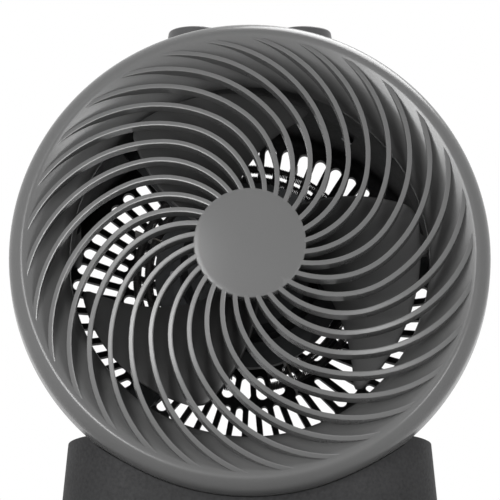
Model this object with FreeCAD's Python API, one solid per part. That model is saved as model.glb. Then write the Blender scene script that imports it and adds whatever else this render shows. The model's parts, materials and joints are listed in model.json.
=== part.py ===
import FreeCAD, Part
import math
import os

from FreeCAD import Placement, Rotation, Vector

# Fan heater: a round head that looks up from a saddle-shaped base.
# Head pieces are drawn in the head's own frame: X to the right, Y up along the front,
# Z forward out of the hub. A depth is a distance behind the edge of the hub cap.
# All lengths are in millimetres and all angles in degrees.

# Stance: the origin is on the floor, under the middle of the base
head_tilt = 13.55
hub_height = 161.0
hub_forward = 101.5

# General mouldings and fits
wall = 2.4
seat_gap = 0.3
running_gap = 0.05
slip_gap = 0.1
touch = 0.01

# Front grille
hub_radius = 30.5
hub_wall = 2.2
cap_rim = 1.2
cap_spigot_length = 6.0
dome_radius = 270.0
bar_count = 30
bar_width = 2.6
bar_depth = 11.0
bar_first_angle = 2.2
bar_lead = 15.4
bar_inner_bend = 49.4
bar_outer_bend = 77.9
bar_bend_change = 75.0
bezel_inner = 116.0
rim_radius = 131.0
rim_round = 6.0
rim_back = 50.0
dish_depth = 36.5
dish_round = 5.5
lip_radius = 97.7
lip_depth = 34.3
lip_round = 1.2
spigot_back = 44.0

# Drum: front case, rear case and the air duct inside them
case_front_radius = 130.4
case_bulge = 1.6
case_tongue = 10.0
seam_radius = 113.0
seam_depth = 120.0
seam_tongue = 7.0
back_depth = 193.2
back_flat_radius = 103.0
back_corner = 8.0
slot_rib = 3.2
slot_rib_depth = 5.0
outer_slot_count = 64
outer_slot_first_angle = 4.33
outer_slot_inner = 74.2
outer_slot_outer = 100.9
inner_slot_count = 46
inner_slot_first_angle = 5.23
inner_slot_inner = 48.7
inner_slot_outer = 71.3
centre_slot_count = 27
centre_slot_first_angle = 12.91
centre_slot_inner = 31.5
centre_slot_outer = 45.0
duct_back = 78.0
rib_front = 62.0
rib_back = 92.0
rib_angles = (4, 130, 228)
boss_radius = 4.2
case_boss_angles = (20, 160, 200, 340)
case_boss_circle = 105.0
case_boss_length = 16.0
case_screw_length = 30.0
case_screw_seat = 132.0
bracket_screw_bite = 10.0

# Fan: the propeller and motor share one axis, a little above the grille's
fan_rise = 4.0
blade_count = 3
blade_tip_radius = 91.0
blade_thickness = 1.8
blade_mid_radius = 65.0
blade_front_depth = 22.0
blade_front_slope = 0.25
blade_front_angle = 24.5
blade_front_sweep = -0.38
blade_rear_depth = 59.5
blade_rear_slope = 0.353
blade_rear_angle = -37.5
blade_rear_sweep = -0.607
blade_rear_curl = 0.0025
blade_stack_angle = -12.0
blade_trim = 2.0
# how far each blade section runs either way, as shares of its distance from the axis
blade_root_span = (-0.15, 1.5)
blade_quarter_span = (-0.5, 1.1)
blade_middle_span = (-1.0, 0.75)
blade_tip_span = (-0.8, 0.5)
propeller_hub_radius = 15.0
propeller_hub_front = 14.0
propeller_hub_back = 60.0
propeller_nose = 6.0
shaft_radius = 4.0
shaft_front = 6.0
shaft_back = 126.0
nut_across = 14.0
nut_height = 6.0

# Motor
motor_radius = 38.0
motor_skin = 1.6
motor_corner = 4.0
shaft_clearance = 2.0
motor_front = 68.0
motor_seam = 97.0
motor_back = 124.0
motor_flange_radius = 46.0
motor_flange_skin = 1.6
bearing_radius = 8.0
bearing_length = 9.0
stator_inner = 22.0
stator_front = 84.0
stator_back = 110.0
air_gap = 0.5
winding_inner = 25.0
winding_length = 8.0
motor_screw_circle = 42.4
motor_screw_angles = (0, 90, 180, 270)

# Motor bracket
bracket_skin = 2.0
bracket_ring_radius = 52.0
arm_width = 14.0
arm_foot_circle = 107.0

# Heater
band_radius = 48.0
band_skin = 0.8
band_back = 112.0
tab_width = 10.0
tab_reach = 58.0
heater_screw_circle = 54.5
board_count = 8
board_first_angle = 22.5
board_skin = 0.8
board_reach = 68.0
board_front = 97.0
board_back = 112.0
coil_wire = 0.9
coil_curl_radius = 2.1
outer_coil_radius = 61.8
outer_coil_depth = 101.5
outer_coil_curls = 40
inner_coil_radius = 55.5
inner_coil_depth = 101.5
inner_coil_curls = 36
coil_first_angle = 280.0
coil_sweep = 340.0
coil_gap_steps = 24
cutout_radius = 8.0
cutout_height = 7.0
cutout_cap_radius = 5.6
cutout_cap_height = 3.5
fuse_radius = 2.2
fuse_length = 14.0
terminal_length = 26.0
terminal_width = 12.0
terminal_height = 12.0
arm_part_circle = 84.0
fuse_arm = 1
cutout_arm = 2
terminal_arm = 0

# Controls on top of the drum
panel_half_width = 56.0
panel_front = 66.0
panel_back = 116.0
panel_corner = 12.0
panel_top = 129.0
panel_edge_round = 1.5
window_half_width = 46.0
window_front = 77.0
window_back = 108.0
knob_spacing = 60.0
knob_depth = 92.0
knob_radius = 16.5
knob_top_radius = 14.8
knob_height = 12.0
knob_round = 1.6
knob_grips = 14
knob_grip_radius = 2.4
knob_lift = 0.4
pointer_start = 5.2
pointer_length = 8.9
spindle_radius = 3.0
bush_radius = 4.8
switch_radius = 12.0
switch_height = 18.0
thermostat_half_width = 12.5
thermostat_height = 20.0
lens_radius = 4.0
lens_depth = 85.0
lens_crown = 1.2

# Carry handle
handle_centre_height = 86.5
handle_inner_radius = 54.0
handle_thickness = 12.0
handle_front = 134.0
handle_back = 158.0
handle_round = 5.0
handle_screw_angle = 60.0
handle_screw_bite = 7.0

# Base
base_half_width = 104.0
base_half_depth = 92.0
base_corner = 46.0
base_top = 60.0
base_slope = 11.0
base_top_half_width = 98.0
base_top_half_depth = 86.0
base_top_corner = 42.0
foot_height = 3.0
foot_radius = 9.0
foot_peg_radius = 3.0
foot_across = 160.0
foot_along = 104.0
plate_skin = 2.5
plate_screw_bite = 12.0
post_radius = 4.6
post_across = 120.0
post_along = 136.0
base_screw_angles = (-115, -65)
base_screw_depths = (78.0, 108.0)
base_pad_height = 5.0
base_screw_bite = 7.0
tip_switch_along = -50.0
tip_switch_length = 24.0
tip_switch_width = 14.0
tip_switch_height = 9.0
plunger_radius = 3.5
plunger_rest = 0.2
gland_height = 12.5
gland_radius = 6.5
gland_bore = 3.6
gland_reach = 5.0

# Screws
screw_spare = 1.0
screw_radius = 1.7
screw_head_radius = 3.2
screw_head_height = 2.2
small_screw_radius = 1.2
small_head_radius = 2.3
small_head_height = 1.6
small_screw_length = 7.0

ORIGIN = Vector(0, 0, 0)
FORWARD = Vector(0, 0, 1)
UP = Vector(0, 1, 0)
FAN_CENTRE = Vector(0, fan_rise, 0)


def at(radius, depth):
    """Point of a turned profile, from its radius and its depth behind the hub edge."""
    return Vector(radius, 0, -depth)


def polar(radius, angle, depth=0.0):
    """Point at a radius and an angle round the head axis."""
    turn = math.radians(angle)
    return Vector(radius * math.cos(turn), radius * math.sin(turn), -depth)


def outline(start, *steps):
    """Closed wire from a start point; a step is a point, or (via, end) for an arc."""
    edges = []
    here = start
    for step in steps:
        if isinstance(step, tuple):
            via, there = step
            edges.append(Part.Arc(here, via, there).toShape())
        else:
            there = step
            edges.append(Part.LineSegment(here, there).toShape())
        here = there
    if here.distanceToPoint(start) > 1e-6:
        edges.append(Part.LineSegment(here, start).toShape())
    return Part.Wire(edges)


def turned(wire):
    """Solid of a profile turned round the head axis."""
    return Part.Face(wire).revolve(ORIGIN, FORWARD, 360)


def disc(radius, front, back, centre=ORIGIN):
    """Cylinder along the head axis between two depths."""
    return Part.makeCylinder(radius, back - front, centre + Vector(0, 0, -back), FORWARD)


def ring(inner, outer, front, back, centre=ORIGIN):
    """Plain ring along the head axis between two depths."""
    return disc(outer, front, back, centre).cut(disc(inner, front, back, centre))


def around(shape, count, first_angle=0.0):
    """Copies of a shape, evenly spaced round the head axis."""
    copies = []
    for step in range(count):
        copy = shape.copy()
        copy.rotate(ORIGIN, FORWARD, first_angle + step * 360.0 / count)
        copies.append(copy)
    return copies


def rounded_rectangle(half_x, half_y, corner):
    """Wire of a rectangle with round corners, flat in XY and centred."""
    straight_x = half_x - corner
    straight_y = half_y - corner
    bow = corner * math.sqrt(0.5)
    return outline(
        Vector(half_x, -straight_y, 0), Vector(half_x, straight_y, 0),
        (Vector(straight_x + bow, straight_y + bow, 0), Vector(straight_x, half_y, 0)),
        Vector(-straight_x, half_y, 0),
        (Vector(-straight_x - bow, straight_y + bow, 0), Vector(-half_x, straight_y, 0)),
        Vector(-half_x, -straight_y, 0),
        (Vector(-straight_x - bow, -straight_y - bow, 0), Vector(-straight_x, -half_y, 0)),
        Vector(straight_x, -half_y, 0),
        (Vector(straight_x + bow, -straight_y - bow, 0), Vector(half_x, -straight_y, 0)))


def screw(tip, seat, radius, head_radius, head_height):
    """Pan-head screw from its tip to the face that its head sits on."""
    axis = seat - tip
    shank = Part.makeCylinder(radius, axis.Length, tip, axis)
    return shank.fuse(Part.makeCylinder(head_radius, head_height, seat, axis)).removeSplitter()


def bore(tip, seat, radius):
    """Clearance hole for a screw's shank, a little deeper than its tip."""
    run = seat - tip
    spare = Vector(run).normalize() * screw_spare
    return Part.makeCylinder(radius + slip_gap, run.Length + 2.0 * screw_spare, tip - spare, run)


# Shape of the head's outside

def dome_depth(radius):
    """Depth of the domed front face at a radius."""
    return math.sqrt(dome_radius**2 - hub_radius**2) - math.sqrt(dome_radius**2 - radius**2)


def dome_point(radius, inset=0.0):
    """Profile point on the domed front, set in along the dome's normal."""
    lean = math.asin(radius / dome_radius)
    return at(radius - inset * math.sin(lean), dome_depth(radius) + inset * math.cos(lean))


def case_circle():
    """Centre radius, centre depth and radius of the bulging side of the front case."""
    rise = seam_depth - rim_back
    run = case_front_radius - seam_radius
    chord = math.hypot(rise, run)
    bend = (chord**2 / 4.0 + case_bulge**2) / (2.0 * case_bulge)
    inward = bend - case_bulge
    centre_radius = (case_front_radius + seam_radius) / 2.0 - inward * rise / chord
    centre_depth = (rim_back + seam_depth) / 2.0 - inward * run / chord
    return centre_radius, centre_depth, bend


def case_radius(depth):
    """Outside radius of the front case at a depth."""
    centre_radius, centre_depth, bend = case_circle()
    return centre_radius + math.sqrt(bend**2 - (depth - centre_depth)**2)


def back_centre_depth():
    """Depth of the centre of the round rear corner."""
    return back_depth - back_corner


def cone_angle():
    """Angle on the rear corner where the straight cone from the seam runs into it."""
    across = seam_radius - back_flat_radius
    along = seam_depth - back_centre_depth()
    return math.atan2(along, across) + math.acos(back_corner / math.hypot(across, along))


def corner_point(turn, grow=0.0):
    """Profile point on the rear corner, grown outwards."""
    reach = back_corner + grow
    return at(back_flat_radius + reach * math.cos(turn), back_centre_depth() + reach * math.sin(turn))


def cone_radius(depth):
    """Outside radius of the rear case's cone at a depth."""
    end = corner_point(cone_angle())
    share = (depth - seam_depth) / (-end.z - seam_depth)
    return seam_radius + share * (end.x - seam_radius)


def drum_envelope(grow):
    """Solid of the whole head's outside, grown or shrunk by a distance."""
    middle = (rim_back + seam_depth) / 2.0
    lean = cone_angle()
    return turned(outline(
        at(0, dish_depth), at(rim_radius + grow, dish_depth), at(rim_radius + grow, rim_back),
        at(case_front_radius + grow, rim_back),
        (at(case_radius(middle) + grow, middle), at(seam_radius + grow, seam_depth)),
        corner_point(lean, grow),
        (corner_point((lean + math.pi / 2) / 2, grow), corner_point(math.pi / 2, grow)),
        at(0, back_depth + grow)))


# Front grille

def hub_cap():
    """Shallow domed cap that plugs into the grille's hub ring."""
    outer = hub_radius - hub_wall - seat_gap * 2
    inner = outer - hub_wall
    back = cap_rim + cap_spigot_length
    return turned(outline(
        at(0, dome_depth(0)), (dome_point(hub_radius / 2), at(hub_radius, 0)), at(hub_radius, cap_rim),
        at(outer, cap_rim), at(outer, back), at(inner, back), at(inner, cap_rim), at(0, cap_rim)))


def arc_end(centre, bend, reach):
    """Angle on a circle, drawn about a centre, where it first gets to a reach from the axis."""
    far = centre.Length
    facing = math.atan2(centre.y, centre.x)
    opening = math.acos((reach**2 - far**2 - bend**2) / (2.0 * bend * far))
    return facing - opening


def turn_onto(angle, start):
    """The same direction, as the first angle past a start."""
    while angle < start:
        angle += 2.0 * math.pi
    return angle


def on_arc(centre, bend, angle):
    """Point on a circle in the XY plane."""
    return centre + Vector(bend * math.cos(angle), bend * math.sin(angle), 0)


def bar_outline():
    """Plan of one spiral bar: two tangent arcs from the hub ring out to the bezel."""
    root = polar(hub_radius - hub_wall / 2.0, bar_first_angle)
    heading = math.radians(bar_first_angle + bar_lead)
    left = Vector(-math.sin(heading), math.cos(heading), 0)
    inner_centre = root + left * bar_inner_bend
    start = heading - math.pi / 2.0
    change = turn_onto(arc_end(inner_centre, bar_inner_bend, bar_bend_change), start)
    joint = on_arc(inner_centre, bar_inner_bend, change)
    outer_centre = joint + (inner_centre - joint) * (bar_outer_bend / bar_inner_bend)
    finish = turn_onto(arc_end(outer_centre, bar_outer_bend, bezel_inner + wall / 2.0), change)
    half = bar_width / 2.0

    def side(offset):
        inner = bar_inner_bend + offset
        outer = bar_outer_bend + offset
        return (on_arc(inner_centre, inner, start), on_arc(inner_centre, inner, (start + change) / 2.0),
                on_arc(inner_centre, inner, change), on_arc(outer_centre, outer, (change + finish) / 2.0),
                on_arc(outer_centre, outer, finish))

    near = side(half)
    far = side(-half)
    return outline(near[0], (near[1], near[2]), (near[3], near[4]),
                   far[4], (far[3], far[2]), (far[1], far[0]))


def dome_shell():
    """Domed layer, one bar deep, that the spiral bars are cut from."""
    inner = hub_radius - hub_wall
    outer = bezel_inner + wall
    middle = (inner + outer) / 2.0
    return turned(outline(
        at(inner, dome_depth(inner)), (at(middle, dome_depth(middle)), at(outer, dome_depth(outer))),
        at(outer, dome_depth(outer) + bar_depth),
        (at(middle, dome_depth(middle) + bar_depth), at(inner, dome_depth(inner) + bar_depth))))


def grille_rim():
    """Bezel, skirt, sunk dish and the spigot that the air duct fits over."""
    round_start = (rim_radius - rim_round) / (1.0 - rim_round / dome_radius)
    lean = math.asin(round_start / dome_radius)
    side_depth = dome_depth(round_start) + rim_round * math.cos(lean)
    centre = at(rim_radius - rim_round, side_depth)
    half_turn = (lean - math.pi / 2.0) / 2.0
    face_middle = (bezel_inner + round_start) / 2.0
    inner_round = rim_round - wall
    dish_centre = at(bezel_inner - dish_round, dish_depth - dish_round)
    slope = math.pi / 4.0

    def on_round(reach):
        return centre + Vector(reach * math.cos(half_turn), 0, -reach * math.sin(half_turn))

    def on_dish(reach):
        return dish_centre + Vector(reach * math.cos(slope), 0, -reach * math.sin(slope))

    bow = lip_round * (1.0 - math.sqrt(0.5))
    return turned(outline(
        dome_point(bezel_inner), (dome_point(face_middle), dome_point(round_start)),
        (on_round(rim_round), at(rim_radius, side_depth)),
        at(rim_radius, rim_back), at(rim_radius - wall, rim_back), at(rim_radius - wall, side_depth),
        (on_round(inner_round), dome_point(round_start, wall)),
        (dome_point(face_middle, wall), dome_point(bezel_inner + wall, wall)),
        at(bezel_inner + wall, dish_depth - dish_round),
        (on_dish(dish_round + wall), at(bezel_inner - dish_round, dish_depth + wall)),
        at(lip_radius + wall, lip_depth + wall), at(lip_radius + wall, spigot_back),
        at(lip_radius, spigot_back), at(lip_radius, lip_depth + lip_round),
        (at(lip_radius + bow, lip_depth + bow), at(lip_radius + lip_round, lip_depth)),
        at(bezel_inner - dish_round, dish_depth),
        (on_dish(dish_round), at(bezel_inner, dish_depth - dish_round))))


def front_grille():
    """Hub ring, spiral bars and rim as one moulding."""
    plan = Part.Face(bar_outline())
    plan.translate(Vector(0, 0, bar_depth))
    prism = plan.extrude(Vector(0, 0, -back_depth))
    bar = prism.common(dome_shell())
    hub_ring = ring(hub_radius - hub_wall, hub_radius - seat_gap, cap_rim + running_gap, bar_depth)
    moulding = grille_rim().fuse([hub_ring] + around(bar, bar_count))
    cap_space = disc(hub_radius + slip_gap, -bar_depth, cap_rim + running_gap)
    return moulding.cut(cap_space).removeSplitter()


# Drum

def case_screw_points():
    """Tip and seat of each axial screw that holds the rear case on."""
    points = []
    for angle in case_boss_angles:
        seat = polar(case_boss_circle, angle, case_screw_seat)
        points.append((seat + Vector(0, 0, case_screw_length), seat))
    return points


def bracket_screw_points():
    """Tip and seat of each screw that holds the motor bracket on the case ribs."""
    points = []
    for angle in rib_angles:
        seat = polar(arm_foot_circle, angle, rib_back + bracket_skin)
        points.append((seat + Vector(0, 0, bracket_skin + bracket_screw_bite), seat))
    return points


def base_screw_points():
    """Tip and seat of each radial screw between the base and the drum."""
    points = []
    for depth in base_screw_depths:
        for angle in base_screw_angles:
            skin = case_radius(depth)
            tip = polar(skin - wall - base_screw_bite, angle, depth)
            points.append((tip, polar(skin + base_pad_height, angle, depth)))
    return points


def front_case_shell():
    """Bulging tube from the grille's skirt to the seam."""
    middle = (rim_back + seam_depth) / 2.0
    tongue_radius = rim_radius - wall - seat_gap
    tongue_front = rim_back - case_tongue
    return turned(outline(
        at(tongue_radius, tongue_front), at(tongue_radius, rim_back + slip_gap),
        at(case_front_radius, rim_back + slip_gap),
        (at(case_radius(middle), middle), at(seam_radius, seam_depth)),
        at(seam_radius - wall, seam_depth),
        (at(case_radius(middle) - wall, middle), at(tongue_radius - wall, rim_back + slip_gap)),
        at(tongue_radius - wall, tongue_front)))


def case_rib():
    """Radial rib that steadies the duct and carries one foot of the motor bracket."""
    duct_outer = lip_radius + wall + seat_gap
    reach = rim_radius
    plate = Part.Face(outline(
        at(duct_outer, rib_front), at(reach, rib_front), at(reach, rib_back), at(lip_radius, rib_back),
        at(lip_radius, duct_back + slip_gap), at(duct_outer, duct_back + slip_gap)))
    plate.translate(Vector(0, -wall / 2.0, 0))
    rib = plate.extrude(Vector(0, wall, 0))
    boss = disc(boss_radius, rib_back - case_boss_length, rib_back, Vector(arm_foot_circle, 0, 0))
    return rib.fuse(boss)


def front_case_boss():
    """Screw boss beside the seam, carried by a short rib."""
    back = seam_depth - seam_tongue - slip_gap
    boss = disc(boss_radius, back - case_boss_length, back, Vector(case_boss_circle, 0, 0))
    rib = Part.makeBox(rim_radius - case_boss_circle, wall, case_boss_length,
                       Vector(case_boss_circle, -wall / 2.0, -back))
    return boss.fuse(rib)


def front_case():
    """Front half of the drum with its ribs, bosses and the window under the controls."""
    core = drum_envelope(-wall / 2.0)
    inside = []
    for angle in rib_angles:
        inside.extend(around(case_rib().common(core), 1, angle))
    for angle in case_boss_angles:
        inside.extend(around(front_case_boss().common(core), 1, angle))
    for tip, seat in base_screw_points():
        outward = seat - tip
        post = Part.makeCylinder(boss_radius, outward.Length, tip, outward)
        inside.append(post.common(core))
    case = front_case_shell().fuse(inside)
    window = Part.makeBox(2.0 * window_half_width, rim_radius, window_back - window_front,
                          Vector(-window_half_width, lip_radius, -window_back))
    holes = [bore(tip, seat, screw_radius) for tip, seat in
             case_screw_points() + bracket_screw_points() + base_screw_points()]
    return case.cut([window] + holes).removeSplitter()


def slot_row(inner, outer, count, first_angle):
    """Cutters through the back for a row of round-ended slots with even ribs between them."""
    half_pitch = math.pi / count
    slope = math.tan(half_pitch)
    half_rib = slot_rib / (2.0 * math.cos(half_pitch))
    start = (inner - half_rib) / (1.0 - slope)
    end = (outer + half_rib) / (1.0 + slope)
    narrow = start - inner
    wide = outer - end
    wire = outline(Vector(start, -narrow, 0), Vector(end, -wide, 0),
                   (Vector(outer, 0, 0), Vector(end, wide, 0)),
                   Vector(start, narrow, 0), (Vector(inner, 0, 0), Vector(start, -narrow, 0)))
    cutter = Part.Face(wire).extrude(Vector(0, 0, -slot_rib_depth - 2.0 * wall))
    cutter.translate(at(0, back_depth - slot_rib_depth - wall))
    return around(cutter, count, first_angle)


def rear_case_shell():
    """Cone and flat back with deep slot ribs, and the tongue that goes inside the front case."""
    lean = cone_angle()
    square = math.pi / 2.0
    half = (lean + square) / 2.0
    tongue_radius = seam_radius - wall - seat_gap
    tongue_front = seam_depth - seam_tongue
    seam = seam_depth + slip_gap
    ramp = seam + seam_tongue
    ribs_start = centre_slot_inner - slot_rib
    ribs_front = back_depth - slot_rib_depth
    return turned(outline(
        at(seam_radius, seam), corner_point(lean), (corner_point(half), corner_point(square)),
        at(0, back_depth), at(0, back_depth - wall), at(ribs_start, back_depth - wall),
        at(ribs_start, ribs_front), at(back_flat_radius, ribs_front), corner_point(square, -wall),
        (corner_point(half, -wall), corner_point(lean, -wall)), at(cone_radius(ramp) - wall, ramp),
        at(tongue_radius - wall, seam), at(tongue_radius - wall, tongue_front),
        at(tongue_radius, tongue_front), at(tongue_radius, seam)))


def handle_screw_points():
    """Tip and seat of each radial screw from inside the rear case into the handle."""
    depth = (handle_front + handle_back) / 2.0
    inside = cone_radius(depth + screw_head_radius) - wall - seat_gap
    points = []
    for angle in (handle_screw_angle, 180.0 - handle_screw_angle):
        points.append((polar(inside + wall + handle_screw_bite, angle, depth), polar(inside, angle, depth)))
    return points


def rear_case():
    """Rear half of the drum with three rows of radial air slots."""
    envelope = drum_envelope(-wall / 2.0)
    tongue_front = seam_depth - seam_tongue
    beside_tongue = ring(seam_radius - wall - seat_gap, rim_radius, tongue_front, seam_depth + slip_gap)
    bosses = []
    recesses = []
    for angle in case_boss_angles:
        centre = polar(case_boss_circle, angle)
        boss = disc(screw_head_radius + wall, tongue_front, back_depth, centre)
        bosses.append(boss.common(envelope).cut(beside_tongue))
        recesses.append(disc(screw_head_radius + seat_gap, case_screw_seat, back_depth, centre))
    slots = slot_row(outer_slot_inner, outer_slot_outer, outer_slot_count, outer_slot_first_angle)
    slots += slot_row(inner_slot_inner, inner_slot_outer, inner_slot_count, inner_slot_first_angle)
    slots += slot_row(centre_slot_inner, centre_slot_outer, centre_slot_count, centre_slot_first_angle)
    holes = [bore(tip, seat, screw_radius) for tip, seat in case_screw_points() + handle_screw_points()]
    shell = rear_case_shell().cut(slots)
    return shell.fuse(bosses).cut(recesses + holes).removeSplitter()


def air_duct():
    """Short tube round the propeller, socketed on the grille's spigot."""
    socket = lip_radius + wall + seat_gap
    front = dish_depth + wall + slip_gap
    step = spigot_back + seat_gap
    return turned(outline(
        at(socket, front), at(socket + wall, front), at(socket + wall, step + wall),
        at(lip_radius + wall, step + 2.0 * wall), at(lip_radius + wall, duct_back), at(lip_radius, duct_back),
        at(lip_radius, step), at(socket, step)))


# Fan, drawn about its own axis

def blade_front_edge(radius):
    """Angle and depth of a blade's front edge at a radius."""
    out = radius - blade_mid_radius
    return blade_front_angle + blade_front_sweep * out, blade_front_depth + blade_front_slope * out


def blade_rear_edge(radius):
    """Angle and depth of a blade's rear edge at a radius."""
    out = radius - blade_mid_radius
    angle = blade_rear_angle + blade_rear_sweep * out + blade_rear_curl * out**2
    return angle, blade_rear_depth + blade_rear_slope * out


def blade_point(along, across):
    """Point on a blade's front face, from its place in the blade's own plan."""
    radius = math.hypot(along, across)
    angle = blade_stack_angle + math.degrees(math.atan2(across, along))
    front_angle, front_depth = blade_front_edge(radius)
    rear_angle, rear_depth = blade_rear_edge(radius)
    share = (front_angle - angle) / (front_angle - rear_angle)
    return Vector(along, across, -front_depth - share * (rear_depth - front_depth))


def blade_section(along, span):
    """Arc across a blade at one distance from the fan axis, between two shares of it."""
    low, high = (along * share for share in span)
    middle = blade_point(along, (low + high) / 2.0)
    return Part.Wire([Part.Arc(blade_point(along, low), middle, blade_point(along, high)).toShape()])


def blade():
    """One twisted blade, trimmed to its plan."""
    root = 2.0 * shaft_radius
    tip = blade_tip_radius + blade_trim
    sections = [blade_section(root, blade_root_span),
                blade_section((root + blade_mid_radius) / 2.0, blade_quarter_span),
                blade_section(blade_mid_radius, blade_middle_span),
                blade_section(tip, blade_tip_span)]
    sheet = Part.makeLoft(sections, False, False)
    sheet.rotate(ORIGIN, FORWARD, blade_stack_angle)
    plate = sheet.Faces[0].extrude(Vector(0, 0, -blade_thickness))
    start = propeller_hub_radius - blade_trim
    half_way = (start + tip) / 2.0
    front_edge = [polar(r, blade_front_edge(r)[0]) for r in (start, half_way, tip)]
    rear_edge = [polar(r, blade_rear_edge(r)[0]) for r in (tip, half_way, start)]
    tip_angle = (blade_front_edge(tip)[0] + blade_rear_edge(tip)[0]) / 2.0
    plan = Part.Face(outline(front_edge[0], (front_edge[1], front_edge[2]),
                             (polar(tip, tip_angle), rear_edge[0]), (rear_edge[1], rear_edge[2])))
    plan.translate(Vector(0, 0, bar_depth))
    trimmed = plate.common(plan.extrude(Vector(0, 0, -back_depth)))
    return trimmed.common(disc(blade_tip_radius, -bar_depth, back_depth))


def propeller():
    """Three blades on a round-nosed hub."""
    bow = propeller_nose * (1.0 - math.sqrt(0.5))
    hub = turned(outline(
        at(0, propeller_hub_front), at(propeller_hub_radius - propeller_nose, propeller_hub_front),
        (at(propeller_hub_radius - bow, propeller_hub_front + bow),
         at(propeller_hub_radius, propeller_hub_front + propeller_nose)),
        at(propeller_hub_radius, propeller_hub_back), at(0, propeller_hub_back)))
    whole = hub.fuse(around(blade(), blade_count))
    return whole.cut(disc(shaft_radius + running_gap, -bar_depth, back_depth)).removeSplitter()


def propeller_nut():
    """Hexagon nut that holds the propeller against the shaft's shoulder."""
    corner = nut_across / math.sqrt(3.0)
    points = [polar(corner, 60 * step) for step in range(6)]
    blank = Part.Face(outline(points[0], *points[1:])).extrude(Vector(0, 0, nut_height))
    blank.translate(Vector(0, 0, -propeller_hub_front))
    return blank.cut(disc(shaft_radius + running_gap, -bar_depth, back_depth))


def motor_shaft():
    """Plain shaft through the propeller, both bearings and the rotor."""
    return disc(shaft_radius, shaft_front, shaft_back)


def motor_front_shell():
    """Front cup of the motor with its flange and bearing seat."""
    seat = bearing_radius + slip_gap
    flange_front = rib_back + bracket_skin
    inner = motor_radius - motor_skin
    bearing_back = motor_front + motor_skin + bearing_length
    shell = turned(outline(
        at(shaft_radius + shaft_clearance, motor_front), at(motor_radius - motor_corner, motor_front),
        at(motor_radius, motor_front + motor_corner), at(motor_radius, flange_front),
        at(motor_flange_radius, flange_front), at(motor_flange_radius, flange_front + motor_flange_skin),
        at(motor_radius, flange_front + motor_flange_skin), at(motor_radius, motor_seam),
        at(inner, motor_seam), at(inner, motor_front + motor_corner + motor_skin),
        at(inner - motor_corner, motor_front + motor_skin),
        at(seat + motor_skin, motor_front + motor_skin), at(seat + motor_skin, bearing_back),
        at(seat, bearing_back), at(seat, motor_front + motor_skin),
        at(shaft_radius + shaft_clearance, motor_front + motor_skin)))
    return shell.cut([bore(tip - FAN_CENTRE, seat_point - FAN_CENTRE, small_screw_radius)
                      for tip, seat_point in motor_screw_points()])


def motor_rear_shell():
    """Rear cup of the motor with its bearing seat."""
    seat = bearing_radius + slip_gap
    inner = motor_radius - motor_skin
    bearing_front = motor_back - motor_skin - bearing_length
    return turned(outline(
        at(motor_radius, motor_seam + slip_gap), at(motor_radius, motor_back - motor_corner),
        at(motor_radius - motor_corner, motor_back), at(shaft_radius + shaft_clearance, motor_back),
        at(shaft_radius + shaft_clearance, motor_back - motor_skin), at(seat, motor_back - motor_skin),
        at(seat, bearing_front), at(seat + motor_skin, bearing_front),
        at(seat + motor_skin, motor_back - motor_skin), at(inner - motor_corner, motor_back - motor_skin),
        at(inner, motor_back - motor_corner - motor_skin), at(inner, motor_seam + slip_gap)))


def bearing(front):
    """Plain bush for the shaft."""
    return ring(shaft_radius + running_gap, bearing_radius, front, front + bearing_length)


def stator_core():
    """Laminated ring, a slip fit in the motor shells."""
    return ring(stator_inner, motor_radius - motor_skin - slip_gap, stator_front, stator_back)


def stator_windings():
    """Wound ends on both faces of the stator core."""
    outer = motor_radius - motor_skin - motor_corner - seat_gap
    return Part.makeCompound([
        ring(winding_inner, outer, stator_front - winding_length, stator_front),
        ring(winding_inner, outer, stator_back, stator_back + winding_length)])


def rotor_core():
    """Rotor on the shaft, inside the stator's air gap."""
    return ring(shaft_radius + running_gap, stator_inner - air_gap, stator_front, stator_back)


def arm_lines():
    """Direction from the fan axis and foot of each bracket arm."""
    lines = []
    for angle in rib_angles:
        foot = polar(arm_foot_circle, angle)
        direction = (foot - FAN_CENTRE).normalize()
        lines.append((direction, foot))
    return lines


def strap(start, end, width, front, back):
    """Flat bar between two points of the head's XY plane."""
    run = end - start
    side = Vector(-run.y, run.x, 0).normalize() * (width / 2.0)
    wire = outline(start - side, end - side, end + side, start + side)
    shape = Part.Face(wire).extrude(Vector(0, 0, front - back))
    shape.translate(Vector(0, 0, -front))
    return shape


def motor_screw_points():
    """Tip and seat of each screw that holds the motor's flange on the bracket."""
    points = []
    for angle in motor_screw_angles:
        seat = FAN_CENTRE + polar(motor_screw_circle, angle, rib_back + bracket_skin + motor_flange_skin)
        points.append((seat + Vector(0, 0, small_screw_length), seat))
    return points


def heater_screw_points():
    """Tip and seat of each screw that holds the heater's band on the bracket."""
    points = []
    for direction, _ in arm_lines():
        seat = FAN_CENTRE + direction * heater_screw_circle + at(0, rib_back + bracket_skin + band_skin)
        points.append((seat + Vector(0, 0, small_screw_length), seat))
    return points


def motor_bracket():
    """Ring for the motor's flange, with three arms out to the case ribs."""
    back = rib_back + bracket_skin
    plate = disc(bracket_ring_radius, rib_back, back, FAN_CENTRE)
    arms = []
    for direction, foot in arm_lines():
        arms.append(strap(FAN_CENTRE + direction * motor_radius, foot, arm_width, rib_back, back))
        arms.append(disc(arm_width / 2.0, rib_back, back, foot))
    plate = plate.fuse(arms)
    holes = [disc(motor_radius + seat_gap, rib_back, back, FAN_CENTRE)]
    holes += [bore(tip, seat, screw_radius) for tip, seat in bracket_screw_points()]
    holes += [bore(tip, seat, small_screw_radius)
              for tip, seat in motor_screw_points() + heater_screw_points()]
    return plate.cut(holes).removeSplitter()


# Heater

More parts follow.
